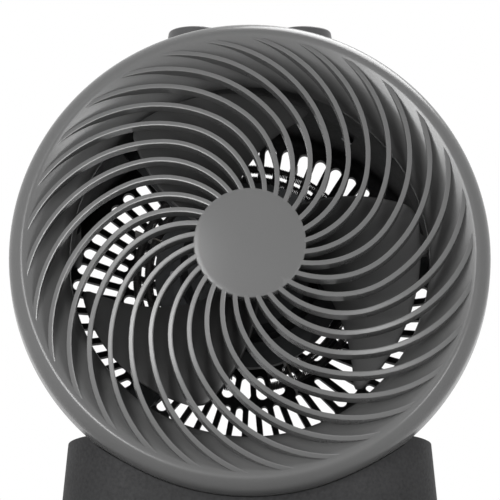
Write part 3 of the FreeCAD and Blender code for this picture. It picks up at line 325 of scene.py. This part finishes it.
@dataclass(frozen=True)
class HeadFrame:
    """Place of the tilted head, read from the fan's joint. Lengths are in millimetres.

    Attributes:
        fan_rise: How far the fan axis lies above the grille's.
        joint_depth: How far the joint's point lies behind the edge of the hub cap.
    """

    fan_rise: float = 4.0
    joint_depth: float = 22.0

    def fan_matrix(self) -> Matrix:
        """Place of the fan's own frame, on its axis level with the hub."""
        return joint_frame("fan_spin") @ Matrix.Translation((0.0, 0.0, self.joint_depth * MM))

    def matrix(self) -> Matrix:
        """Place of the head's own frame: X right, Y up along the front, Z out of the hub."""
        return self.fan_matrix() @ Matrix.Translation((0.0, -self.fan_rise * MM, 0.0))


HEAD = HeadFrame()


def at(radius: float, depth: float) -> Vector:
    """Point of a turned profile in millimetres, from its radius and depth."""
    return Vector((radius, 0.0, -depth))


@dataclass(frozen=True)
class Corner:
    """Corner of a profile, with how far along its edges the rounding starts, in millimetres."""

    point: Vector
    rounding: float = 0.0


def deselect_all() -> None:
    """Go back to object mode with nothing selected."""
    if bpy.context.object and bpy.context.object.mode != "OBJECT":
        bpy.ops.object.mode_set(mode="OBJECT")
    bpy.ops.object.select_all(action="DESELECT")


def select_only(*pieces: bpy.types.Object) -> None:
    """Select some pieces and nothing else, with the first one active.

    Args:
        pieces: Objects in object mode.
    """
    deselect_all()
    for piece in pieces:
        piece.select_set(True)
    bpy.context.view_layer.objects.active = pieces[0]


def rename(piece: bpy.types.Object, name: str) -> None:
    """Give a piece and its mesh one name."""
    piece.name = name
    piece.data.name = name


def edit_all() -> None:
    """Go into edit mode with the whole active piece selected."""
    bpy.ops.object.mode_set(mode="EDIT")
    bpy.ops.mesh.select_all(action="SELECT")


def select_points(points: Sequence[Vector], reach: float = 1e-5) -> None:
    """Select the vertices of the edited mesh that lie on any of some points.

    Args:
        points: Points in metres.
        reach: How far from a point a vertex may lie, in metres.
    """
    mesh = bpy.context.object.data
    shape = bmesh.from_edit_mesh(mesh)
    for vertex in shape.verts:
        vertex.select_set(any((vertex.co - point).length < reach for point in points))
    shape.select_flush_mode()
    bmesh.update_edit_mesh(mesh)


def draw_profile(name: str, corners: Sequence[Corner], closed: bool = True,
                 segments: int = 4) -> bpy.types.Object:
    """Draw a profile by extruding one vertex from corner to corner, and leave it in edit mode.

    Args:
        name: Name of the piece.
        corners: Corners in order.
        closed: Whether the last corner joins the first.
        segments: Edges across each rounding.

    Returns:
        Object in edit mode, with the whole profile selected.
    """
    deselect_all()
    points = [corner.point * MM for corner in corners]
    bpy.ops.mesh.primitive_plane_add(size=MM)
    piece = bpy.context.object
    rename(piece, name)
    edit_all()
    bpy.ops.mesh.merge(type="CENTER")
    bpy.ops.transform.translate(value=points[0])
    for here, there in zip(points, points[1:]):
        bpy.ops.mesh.extrude_vertices_move(TRANSFORM_OT_translate={"value": there - here})
    if closed:
        select_points([points[0], points[-1]])
        bpy.ops.mesh.edge_face_add()
    for corner, point in zip(corners, points):
        if corner.rounding:
            select_points([point])
            bpy.ops.mesh.bevel(offset=corner.rounding * MM, segments=segments, affect="VERTICES")
    bpy.ops.mesh.select_all(action="SELECT")
    return piece


def spin(angle: float, steps: int, centre: Vector = Vector(), copies: bool = False) -> None:
    """Turn the selection round an axis along Z, anticlockwise as seen from the front.

    Args:
        angle: Turn in radians.
        steps: Number of steps.
        centre: Point on the axis in millimetres.
        copies: Whether each step is a separate copy.
    """
    bpy.ops.mesh.spin(steps=steps, angle=-angle, center=centre * MM, axis=(0.0, 0.0, 1.0), dupli=copies)


def copy_round(count: int) -> None:
    """Copy the active piece round the Z axis, evenly spaced.

    Args:
        count: How many there are in all.
    """
    edit_all()
    spin(math.tau * (1.0 - 1.0 / count), count - 1, copies=True)
    bpy.ops.object.mode_set(mode="OBJECT")


def close_mesh(smooth_below: float = 35.0) -> None:
    """Merge doubles, close open ends and turn the faces of the active piece outwards.

    Args:
        smooth_below: Edges that bend less than this many degrees are shaded smooth.
    """
    edit_all()
    bpy.ops.mesh.remove_doubles(threshold=MERGE_DISTANCE)
    bpy.ops.mesh.fill_holes(sides=0)
    bpy.ops.mesh.select_all(action="SELECT")
    bpy.ops.mesh.normals_make_consistent(inside=False)
    bpy.ops.object.mode_set(mode="OBJECT")
    bpy.ops.object.shade_smooth_by_angle(angle=math.radians(smooth_below))


def turn_profile(name: str, corners: Sequence[Corner], closed: bool = True,
                 steps: int = 180) -> bpy.types.Object:
    """Turn a profile right round the Z axis.

    Args:
        name: Name of the piece.
        corners: Corners of the profile in order.
        closed: False for a profile whose two ends lie on the axis.
        steps: Steps round the circle.

    Returns:
        Closed object in object mode.
    """
    piece = draw_profile(name, corners, closed)
    spin(math.tau, steps)
    close_mesh()
    return piece


def add_sheet(along: int, across: int) -> bpy.types.Object:
    """Add a grid whose vertices run from zero to one in X and Y, ready to be shaped.

    Args:
        along: Faces along X.
        across: Faces along Y.

    Returns:
        Grid in object mode, alone in the selection.
    """
    deselect_all()
    bpy.ops.mesh.primitive_grid_add(x_subdivisions=along, y_subdivisions=across, size=1.0,
                                    location=(0.5, 0.5, 0.0))
    bpy.ops.object.transform_apply(location=True, rotation=True, scale=True)
    return bpy.context.object


def thicken(sheet: bpy.types.Object, thickness: float, offset: float) -> None:
    """Give a sheet its thickness.

    Args:
        sheet: Active sheet in object mode.
        thickness: Thickness in millimetres.
        offset: Minus one to thicken it behind its faces, and zero to both sides alike.
    """
    skin = sheet.modifiers.new("Thickness", "SOLIDIFY")
    skin.thickness = thickness * MM
    skin.offset = offset
    bpy.ops.object.modifier_apply(modifier=skin.name)


def join(pieces: Sequence[bpy.types.Object], name: str) -> bpy.types.Object:
    """Join objects into the first one.

    Args:
        pieces: Objects in object mode.
        name: Name of the joined piece.

    Returns:
        The joined object.
    """
    select_only(*pieces)
    bpy.ops.object.join()
    joined = bpy.context.object
    rename(joined, name)
    return joined


def seat(piece: bpy.types.Object, matrix: Matrix) -> None:
    """Move a piece into the heater's frame and put the place into its mesh."""
    select_only(piece)
    piece.matrix_world = matrix
    bpy.ops.object.transform_apply(location=True, rotation=True, scale=True)


def hand_over(piece: bpy.types.Object, palette: Palette, body: str, slot: str, *nodes: str,
              finish: str | None = None) -> None:
    """Dress a finished piece, let it ride on a body and stand for CAD nodes.

    Args:
        piece: Finished piece in the heater's frame.
        palette: Materials by the name of their finish.
        body: Body that carries the piece.
        slot: The record's material slot.
        nodes: Nodes that the piece stands for.
        finish: Name of its finish, where that isn't the slot's own.
    """
    palette.dress(piece, finish or slot)
    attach(piece, body)
    if nodes:
        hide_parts(*nodes)
    LOG.info("%s: %d faces on %s", piece.name, len(piece.data.polygons), body)


@dataclass(frozen=True)
class Dome:
    """Shallow ball shape of the whole front, in millimetres.

    Attributes:
        radius: Radius of the ball.
        edge: Distance from the middle at which its depth is zero.
    """

    radius: float
    edge: float

    def depth(self, radius: float) -> float:
        """Depth of the domed front behind the edge of the hub cap."""
        return math.sqrt(self.radius**2 - self.edge**2) - math.sqrt(self.radius**2 - radius**2)

    def point(self, radius: float, under: float = 0.0) -> Vector:
        """Profile point on the dome, or straight behind it."""
        return at(radius, self.depth(radius) + under)


@dataclass
class SpiralGrille:
    """Front moulding: hub ring, spiral bars, flared mouth and bezel, with its hub cap.

    The sizes are in millimetres and degrees.
    """

    dome_radius: float = 270.0
    hub_radius: float = 30.5
    hub_wall: float = 2.2
    hub_steps: int = 120
    cap_rim: float = 1.2
    cap_spigot: float = 6.0
    cap_edge: float = 0.7
    cap_rings: int = 10
    gap: float = 0.3
    bar_count: int = 30
    bar_width: float = 2.6
    bar_depth: float = 11.0
    bar_edge: float = 0.25
    bar_segments: int = 2
    land_width: float = 0.55
    land_lean: float = 18.0
    first_angle: float = 2.2
    lead: float = 15.4
    inner_bend: float = 49.4
    inner_steps: int = 16
    outer_bend: float = 77.9
    outer_steps: int = 20
    bend_change: float = 75.0
    bezel_inner: float = 124.0
    bezel_edge: float = 2.0
    bezel_proud: float = 2.5
    rim_radius: float = 130.9
    rim_proud: float = 0.8
    rim_round: float = 5.5
    rim_back: float = 50.0
    skirt_edge: float = 0.6
    mouth_radius: float = 97.7
    mouth_depth: float = 37.5
    mouth_round: float = 6.3
    spigot_back: float = 44.0
    wall: float = 2.4

    @property
    def dome(self) -> Dome:
        """Ball shape that the whole front follows, level with the hub's edge."""
        return Dome(self.dome_radius, self.hub_radius)

    def arc_end(self, centre: Vector, bend: float, reach: float, start: float) -> float:
        """Angle past a start at which a circle first gets to a reach from the hub.

        Args:
            centre: Centre of the circle.
            bend: Radius of the circle.
            reach: Distance from the hub to get to.
            start: Angle to start from, in radians.

        Returns:
            Angle on the circle in radians.
        """
        far = centre.length
        opening = math.acos((reach**2 - far**2 - bend**2) / (2.0 * bend * far))
        angle = math.atan2(centre.y, centre.x) - opening
        while angle < start:
            angle += math.tau
        return angle

    def bar_section(self, root: Vector, left: Vector) -> list[Corner]:
        """Section of a bar, with a narrow land along its inner front edge that catches the light.

        Args:
            root: Middle of the bar's front at the hub.
            left: Direction across the bar towards the inside of its bend.

        Returns:
            Corners of the section in order.
        """
        half = self.bar_width / 2.0
        drop = self.land_width * math.tan(math.radians(self.land_lean))
        places = ((-half, 0.0, self.bar_edge), (half - self.land_width, 0.0, 0.0), (half, drop, 0.0),
                  (half, self.bar_depth, self.bar_edge), (-half, self.bar_depth, self.bar_edge))
        return [Corner(root + left * across + Vector((0.0, 0.0, -depth)), rounding)
                for across, depth, rounding in places]

    def bars(self) -> bpy.types.Object:
        """Spin a rounded section along a bar's two arcs, bow the bar to the dome and copy it round.

        Returns:
            All the bars as one object in the head's frame.
        """
        root_angle = math.radians(self.first_angle)
        heading = math.radians(self.first_angle + self.lead)
        root_radius = self.hub_radius - self.hub_wall / 2.0
        root = Vector((math.cos(root_angle), math.sin(root_angle), 0.0)) * root_radius
        left = Vector((-math.sin(heading), math.cos(heading), 0.0))
        inner_centre = root + left * self.inner_bend
        start = heading - math.pi / 2.0
        change = self.arc_end(inner_centre, self.inner_bend, self.bend_change, start)
        outward = Vector((math.cos(change), math.sin(change), 0.0))
        outer_centre = inner_centre + outward * (self.inner_bend - self.outer_bend)
        finish = self.arc_end(outer_centre, self.outer_bend, self.bezel_inner + self.wall / 2.0, change)
        bar = draw_profile("spiral_bars", self.bar_section(root, left), segments=self.bar_segments)
        spin(change - start, self.inner_steps, inner_centre)
        spin(finish - change, self.outer_steps, outer_centre)
        close_mesh(self.land_lean / 2.0)
        dome = self.dome
        for vertex in bar.data.vertices:
            vertex.co.z -= dome.depth(math.hypot(vertex.co.x, vertex.co.y) / MM) * MM
        copy_round(self.bar_count)
        return bar

    def rim(self) -> bpy.types.Object:
        """Turn the bezel, its skirt and the flared mouth that ends in the duct's spigot.

        Returns:
            Rim object in the head's frame.
        """
        dome = self.dome
        skirt = self.rim_radius - self.wall
        spigot = self.mouth_radius + self.wall
        return turn_profile("bezel", [
            Corner(dome.point(self.bezel_inner, -self.bezel_proud), self.bezel_edge),
            Corner(dome.point(self.rim_radius, -self.rim_proud), self.rim_round),
            Corner(at(self.rim_radius, self.rim_back), self.skirt_edge),
            Corner(at(skirt, self.rim_back)),
            Corner(dome.point(skirt, self.wall), self.wall),
            Corner(dome.point(self.bezel_inner, 2.0 * self.wall)),
            Corner(at(spigot, self.mouth_depth + self.wall), self.mouth_round / 2.0),
            Corner(at(spigot, self.spigot_back)),
            Corner(at(self.mouth_radius, self.spigot_back)),
            Corner(at(self.mouth_radius, self.mouth_depth), self.mouth_round)])

    def hub_ring(self) -> bpy.types.Object:
        """Turn the ring that the bars spring from.

        Returns:
            Ring object in the head's frame.
        """
        inner = self.hub_radius - self.hub_wall
        outer = self.hub_radius - self.gap
        return turn_profile("hub_ring", [
            Corner(at(inner, self.cap_rim)),
            Corner(at(outer, self.cap_rim)),
            Corner(at(outer, self.bar_depth), self.bar_edge),
            Corner(at(inner, self.bar_depth))], steps=self.hub_steps)

    def cap(self) -> bpy.types.Object:
        """Turn the shallow domed hub cap with its spigot.

        Returns:
            Cap object in the head's frame.
        """
        dome = self.dome
        outer = self.hub_radius - self.hub_wall - 2.0 * self.gap
        inner = outer - self.hub_wall
        back = self.cap_rim + self.cap_spigot
        crown = [dome.point(self.hub_radius * step / self.cap_rings) for step in range(self.cap_rings)]
        return turn_profile("hub_cap_moulding", [
            *(Corner(point) for point in crown),
            Corner(dome.point(self.hub_radius), self.cap_edge),
            Corner(at(self.hub_radius, self.cap_rim)),
            Corner(at(outer, self.cap_rim)),
            Corner(at(outer, back), self.cap_edge),
            Corner(at(inner, back)),
            Corner(at(inner, self.cap_rim)),
            Corner(at(0.0, self.cap_rim))], closed=False, steps=self.hub_steps)

    def build(self, palette: Palette) -> None:
        """Build the grille and its cap, and put them on the housing.

        Args:
            palette: Materials by the name of their finish.
        """
        moulding = join([self.rim(), self.hub_ring(), self.bars()], "spiral_grille_moulding")
        seat(moulding, HEAD.matrix())
        hand_over(moulding, palette, "housing", "grey_abs", "front_grille")
        cap = self.cap()
        seat(cap, HEAD.matrix())
        hand_over(cap, palette, "housing", "grey_abs", "hub_cap")


@dataclass
class Propeller:
    """Three wide, deep-pitched blades on a round-nosed hub.

    The sizes are in millimetres and degrees. The blade's front and rear edges have their angle and depth at
    the middle radius. Sweep, curl and slope say how these change with each millimetre further out.
    """

    blade_count: int = 3
    root_radius: float = 12.5
    tip_radius: float = 93.0
    tip_corner: float = 6.0
    thickness: float = 1.8
    edge: float = 0.45
    edge_segments: int = 3
    crease: float = 50.0
    middle: float = 65.0
    front_angle: float = 24.5
    front_sweep: float = -0.38
    front_depth: float = 22.0
    front_slope: float = 0.25
    rear_angle: float = -37.5
    rear_sweep: float = -0.607
    rear_curl: float = 0.0025
    rear_depth: float = 59.5
    rear_slope: float = 0.353
    hub_radius: float = 15.0
    hub_front: float = 14.0
    hub_back: float = 60.0
    hub_steps: int = 72
    nose: float = 6.0
    bore: float = 4.05
    rings: int = 36
    strips: int = 24

    def corner_inset(self, radius: float) -> float:
        """How far the blade's edges draw in near the tip, in millimetres."""
        past = max(0.0, radius - (self.tip_radius - self.tip_corner))
        return self.tip_corner - math.sqrt(self.tip_corner**2 - past**2)

    def blade_point(self, along: float, across: float) -> Vector:
        """Point on a blade's front face.

        Args:
            along: Share of the way from the root to the tip.
            across: Share of the way from the front edge to the rear edge.

        Returns:
            Point in millimetres in the fan's frame.
        """
        radius = self.root_radius + along * (self.tip_radius - self.root_radius)
        out = radius - self.middle
        front = self.front_angle + self.front_sweep * out
        rear = self.rear_angle + self.rear_sweep * out + self.rear_curl * out**2
        inset = self.corner_inset(radius) / (math.radians(front - rear) * radius)
        share = inset + across * (1.0 - 2.0 * inset)
        turn = math.radians(front + share * (rear - front))
        shallow = self.front_depth + self.front_slope * out
        deep = self.rear_depth + self.rear_slope * out
        depth = shallow + share * (deep - shallow)
        return Vector((radius * math.cos(turn), radius * math.sin(turn), -depth))

    def blades(self) -> bpy.types.Object:
        """Shape a grid into one blade, give it thickness and rounded edges, and copy it round.

        Returns:
            All the blades as one object in the fan's frame.
        """
        blade = add_sheet(self.rings, self.strips)
        for vertex in blade.data.vertices:
            vertex.co = self.blade_point(vertex.co.x, 1.0 - vertex.co.y) * MM
        thicken(blade, self.thickness, offset=-1.0)
        edge = blade.modifiers.new("Edge", "BEVEL")
        edge.width = self.edge * MM
        edge.segments = self.edge_segments
        edge.limit_method = "ANGLE"
        edge.angle_limit = math.radians(self.crease)
        bpy.ops.object.modifier_apply(modifier=edge.name)
        close_mesh(self.crease)
        copy_round(self.blade_count)
        return blade

    def hub(self) -> bpy.types.Object:
        """Turn the round-nosed hub.

        Returns:
            Hub object in the fan's frame.
        """
        return turn_profile("propeller_hub", [
            Corner(at(self.bore, self.hub_front)),
            Corner(at(self.hub_radius, self.hub_front), self.nose),
            Corner(at(self.hub_radius, self.hub_back), self.edge),
            Corner(at(self.bore, self.hub_back))], steps=self.hub_steps)

    def build(self, palette: Palette) -> None:
        """Build the propeller and put it on the fan's body.

        Args:
            palette: Materials by the name of their finish.
        """
        whole = join([self.hub(), self.blades()], "propeller_moulding")
        seat(whole, HEAD.fan_matrix())
        hand_over(whole, palette, "fan", "propeller_nylon", "propeller")


@dataclass
class HeatingCoil:
    """Resistance wire wound in fine curls along a round path. Sizes are in millimetres and degrees."""

    name: str
    node: str
    path_radius: float
    curls: int
    depth: float = 101.5
    curl_radius: float = 2.1
    wire: float = 0.8
    first_angle: float = 280.0
    sweep: float = 340.0
    steps_per_curl: int = 12

    def wire_point(self, share: float) -> Vector:
        """Point on the wire's middle.

        Args:
            share: Share of the way along the wire.

        Returns:
            Point in metres in the fan's frame.
        """
        turn = math.radians(self.first_angle + self.sweep * share)
        curl = math.tau * self.curls * share
        reach = self.path_radius + self.curl_radius * math.cos(curl)
        height = self.curl_radius * math.sin(curl) - self.depth
        return Vector((reach * math.cos(turn), reach * math.sin(turn), height)) * MM

    def build(self, palette: Palette) -> None:
        """Wind the wire as a smooth curve, turn it into a mesh and put it on the housing.

        Args:
            palette: Materials by the name of their finish.
        """
        deselect_all()
        bpy.ops.curve.primitive_nurbs_path_add()
        coil = bpy.context.object
        coil.name = self.name
        coil.data.splines.clear()
        steps = self.curls * self.steps_per_curl
        line = coil.data.splines.new("NURBS")
        line.points.add(steps)
        for step, point in enumerate(line.points):
            point.co = (*self.wire_point(step / steps), 1.0)
        line.order_u = 3
        line.use_endpoint_u = True
        coil.data.resolution_u = 1
        coil.data.bevel_depth = self.wire / 2.0 * MM
        coil.data.bevel_resolution = 1
        coil.data.use_fill_caps = True
        bpy.ops.object.convert(target="MESH")
        coil = bpy.context.object
        bpy.ops.object.shade_smooth()
        seat(coil, HEAD.fan_matrix())
        hand_over(coil, palette, "housing", "resistance_wire", self.node)


@dataclass
class DialMarks:
    """Print round the two knobs, and the pale fill of their pointers.

    The sizes are in millimetres and degrees, with angles clockwise from the back and heights above the
    panel. A knob's own frame has X right, Y to the back and Z up its axis.
    """

    ink: float = 0.2
    settings: str = "0123"
    setting_step: float = 45.0
    setting_radius: float = 20.2
    numeral_size: float = 4.8
    scale_sweep: float = 270.0
    scale_radius: float = 18.4
    scale_start: float = 0.4
    scale_end: float = 2.8
    scale_steps: int = 60
    pointer_start: float = 5.5
    pointer_end: float = 13.2
    pointer_width: float = 2.0
    pointer_corner: float = 0.5
    pointer_floor: float = 11.65
    pointer_top: float = 12.3

    def on_dial(self, radius: float, angle: float) -> Vector:
        """Point on the panel in metres, from its distance and angle round a knob."""
        turn = math.radians(angle)
        return Vector((math.sin(turn), math.cos(turn), 0.0)) * radius * MM

    def numeral(self, digit: str, angle: float) -> bpy.types.Object:
        """Print one numeral beside the heat selector.

        Args:
            digit: The numeral.
            angle: Where the selector points at this setting.

        Returns:
            Numeral as a closed mesh in the knob's frame.
        """
        deselect_all()
        bpy.ops.object.text_add()
        text = bpy.context.object
        text.data.body = digit
        text.data.align_x = "CENTER"
        text.data.align_y = "CENTER"
        text.data.size = self.numeral_size * MM
        text.data.extrude = self.ink / 2.0 * MM
        bpy.ops.object.convert(target="MESH")
        edit_all()
        bpy.ops.transform.translate(value=self.on_dial(self.setting_radius, angle))
        close_mesh()
        return bpy.context.object

    def numerals(self, name: str) -> bpy.types.Object:
        """Print every setting of the heat selector, as one piece in the knob's frame."""
        return join([self.numeral(digit, self.setting_step * place)
                     for place, digit in enumerate(self.settings)], name)

    def growing_band(self, name: str) -> bpy.types.Object:
        """Shape a grid into the band that grows towards the thermostat's warm end.

        Args:
            name: Name of the piece.

        Returns:
            Band as a closed mesh in the knob's frame.
        """
        band = add_sheet(self.scale_steps, 1)
        rename(band, name)
        for vertex in band.data.vertices:
            share, outward = vertex.co.x, vertex.co.y
            width = self.scale_start + share * (self.scale_end - self.scale_start)
            vertex.co = self.on_dial(self.scale_radius + outward * width, self.scale_sweep * share)
        thicken(band, self.ink, offset=0.0)
        close_mesh()
        return band

    def pointer_fill(self, name: str) -> bpy.types.Object:
        """Fill a knob's pointer groove with a rounded bar.

        Args:
            name: Name of the piece.

        Returns:
            Bar in the knob's frame.
        """
        half = self.pointer_width / 2.0
        places = ((-half, self.pointer_start), (half, self.pointer_start), (half, self.pointer_end),
                  (-half, self.pointer_end))
        bar = draw_profile(name, [Corner(Vector((across, along, self.pointer_floor)), self.pointer_corner)
                                  for across, along in places])
        bpy.ops.mesh.edge_face_add()
        rise = Vector((0.0, 0.0, self.pointer_top - self.pointer_floor)) * MM
        bpy.ops.mesh.extrude_region_move(TRANSFORM_OT_translate={"value": rise})
        close_mesh()
        return bar

    def build(self, palette: Palette) -> None:
        """Print the panel and fill both pointers.

        Args:
            palette: Materials by the name of their finish.
        """
        heat = joint_frame("heat_turn")
        warmth = joint_frame("thermostat_turn")
        for piece, body, place in (
                (self.numerals("heat_setting_print"), "housing", heat),
                (self.growing_band("thermostat_print"), "housing", warmth),
                (self.pointer_fill("heat_pointer_fill"), "heat_selector", heat),
                (self.pointer_fill("thermostat_pointer_fill"), "thermostat_dial", warmth)):
            seat(piece, place)
            hand_over(piece, palette, body, "grey_abs", finish="printed_ink")


@dataclass(frozen=True)
class SoftBox:
    """Soft box that faces the hub.

    Attributes:
        name: Name of the lamp.
        side: Degrees to the right of the camera's line.
        lift: Degrees above the hub.
        distance: Metres from the hub.
        width: Metres across.
        height: Metres up.
        watts: Power.
    """

    name: str
    side: float
    lift: float
    distance: float
    width: float
    height: float
    watts: float


@dataclass
class Studio:
    """Pale floor, white surround, soft lamps and the camera.

    Lengths are in metres where their names don't say otherwise. The hub's two pixel values are where it
    lands in the picture, to the right of its middle and above it.
    """

    view_width: float = 0.27
    lens_mm: float = 800.0
    sensor_mm: float = 36.0
    hub_right_px: float = -0.2
    hub_up_px: float = 7.6
    image_px: float = 500.0
    sight: float = 100.0
    floor_radius: float = 4.0
    floor_sides: int = 96
    fade_start: float = 0.30
    fade_end: float = 0.55
    ambient: float = 0.40
    surround_colour: str = "FFFFFF"
    floor_colour: str = "F2F2F2"
    boxes: tuple[SoftBox, ...] = (
        SoftBox("left_soft_box", side=-26.0, lift=18.0, distance=2.0, width=0.7, height=0.8, watts=13.0),
        SoftBox("low_left_soft_box", side=-25.0, lift=2.0, distance=2.0, width=0.7, height=0.45, watts=12.5),
        SoftBox("right_soft_box", side=33.0, lift=2.0, distance=2.0, width=0.5, height=0.45, watts=6.0),
        SoftBox("rear_soft_box", side=155.0, lift=48.0, distance=2.4, width=1.4, height=1.4, watts=36.0))

    def camera(self) -> None:
        """Set a long lens straight in front, so that the hub lands where it does in the photograph."""
        hub = HEAD.matrix().translation
        distance = self.view_width * self.lens_mm / self.sensor_mm
        step = self.view_width / self.image_px
        place = hub + Vector((-self.hub_right_px * step, -distance, -self.hub_up_px * step))
        bpy.ops.object.camera_add(location=place, rotation=(math.pi / 2.0, 0.0, 0.0))
        camera = bpy.context.object
        camera.data.lens = self.lens_mm
        camera.data.sensor_width = self.sensor_mm
        camera.data.clip_end = self.sight
        bpy.context.scene.camera = camera

    def seen(self, tree: bpy.types.NodeTree) -> bpy.types.NodeSocket:
        """Add a switch that is one for camera, glossy and transmission rays.

        Args:
            tree: Node tree that gets the switch.

        Returns:
            Socket of the switch.
        """
        path = add_node(tree, "ShaderNodeLightPath")
        either = add_node(tree, "ShaderNodeMath", {"operation": "MAXIMUM"},
                          {0: path.outputs["Is Camera Ray"], 1: path.outputs["Is Glossy Ray"]})
        any_of_them = add_node(tree, "ShaderNodeMath", {"operation": "MAXIMUM"},
                               {0: either.outputs["Value"], 1: path.outputs["Is Transmission Ray"]})
        return any_of_them.outputs["Value"]

    def surround(self) -> None:
        """White for what looks straight at it, and an even soft light for everything else."""
        world = bpy.data.worlds.new("White surround")
        bpy.context.scene.world = world
        tree = empty_tree(world)
        colour = linear(self.surround_colour)
        soft = add_node(tree, "ShaderNodeBackground", {"Color": colour, "Strength": self.ambient})
        white = add_node(tree, "ShaderNodeBackground", {"Color": colour, "Strength": 1.0})
        both = add_node(tree, "ShaderNodeMixShader", links={
            0: self.seen(tree), 1: soft.outputs["Background"], 2: white.outputs["Background"]})
        add_node(tree, "ShaderNodeOutputWorld", links={"Surface": both.outputs["Shader"]})

    def floor(self) -> None:
        """Lay a round floor that keeps the heater's shadow and fades to white further out."""
        deselect_all()
        bpy.ops.mesh.primitive_circle_add(vertices=self.floor_sides, radius=self.floor_radius,
                                          fill_type="NGON")
        floor = bpy.context.object
        floor.name = "floor"
        material = bpy.data.materials.new("Pale matt floor")
        tree = empty_tree(material)
        place = add_node(tree, "ShaderNodeTexCoord").outputs["Object"]
        reach = add_node(tree, "ShaderNodeVectorMath", {"operation": "LENGTH"}, {0: place})
        fade = add_node(tree, "ShaderNodeMapRange",
                        {"From Min": self.fade_start, "From Max": self.fade_end,
                         "interpolation_type": "SMOOTHSTEP"}, {"Value": reach.outputs["Value"]})
        share = add_node(tree, "ShaderNodeMath", {"operation": "MULTIPLY"},
                         {0: fade.outputs["Result"], 1: self.seen(tree)})
        matt = add_node(tree, "ShaderNodeBsdfDiffuse", {"Color": linear(self.floor_colour)})
        white = add_node(tree, "ShaderNodeEmission", {"Strength": 1.0})
        both = add_node(tree, "ShaderNodeMixShader", links={
            0: share.outputs["Value"], 1: matt.outputs["BSDF"], 2: white.outputs["Emission"]})
        add_node(tree, "ShaderNodeOutputMaterial", links={"Surface": both.outputs["Shader"]})
        floor.data.materials.append(material)

    def lamp(self, box: SoftBox) -> None:
        """Hang one soft box.

        Args:
            box: Its place, size and power.
        """
        deselect_all()
        side, lift = math.radians(box.side), math.radians(box.lift)
        way = Vector((math.sin(side) * math.cos(lift), -math.cos(side) * math.cos(lift), math.sin(lift)))
        bpy.ops.object.light_add(type="AREA", location=HEAD.matrix().translation + way * box.distance)
        lamp = bpy.context.object
        lamp.name = box.name
        lamp.data.shape = "RECTANGLE"
        lamp.data.size = box.width
        lamp.data.size_y = box.height
        lamp.data.energy = box.watts
        lamp.rotation_euler = (-way).to_track_quat("-Z", "Y").to_euler()

    def build(self) -> None:
        """Set the whole studio up."""
        self.surround()
        self.floor()
        for box in self.boxes:
            self.lamp(box)
        self.camera()
        bpy.context.scene.view_settings.view_transform = "Standard"


def dress_cad_nodes(palette: Palette) -> None:
    """Give every CAD node the material of its slot in the record."""
    for row in frame["record"]["subparts"]:
        palette.dress(frame["nodes"][row["node"]], row["material_slot"])


def main() -> None:
    """Dress the heater and set up the studio round it."""
    logging.basicConfig(level=logging.INFO, format="%(name)s %(message)s")
    palette = Palette()
    dress_cad_nodes(palette)
    SpiralGrille().build(palette)
    Propeller().build(palette)
    HeatingCoil("outer_coil_wire", "outer_heating_coil", path_radius=61.8, curls=400).build(palette)
    HeatingCoil("inner_coil_wire", "inner_heating_coil", path_radius=55.5, curls=360).build(palette)
    DialMarks().build(palette)
    Studio().build()


if __name__ == "__main__":
    main()
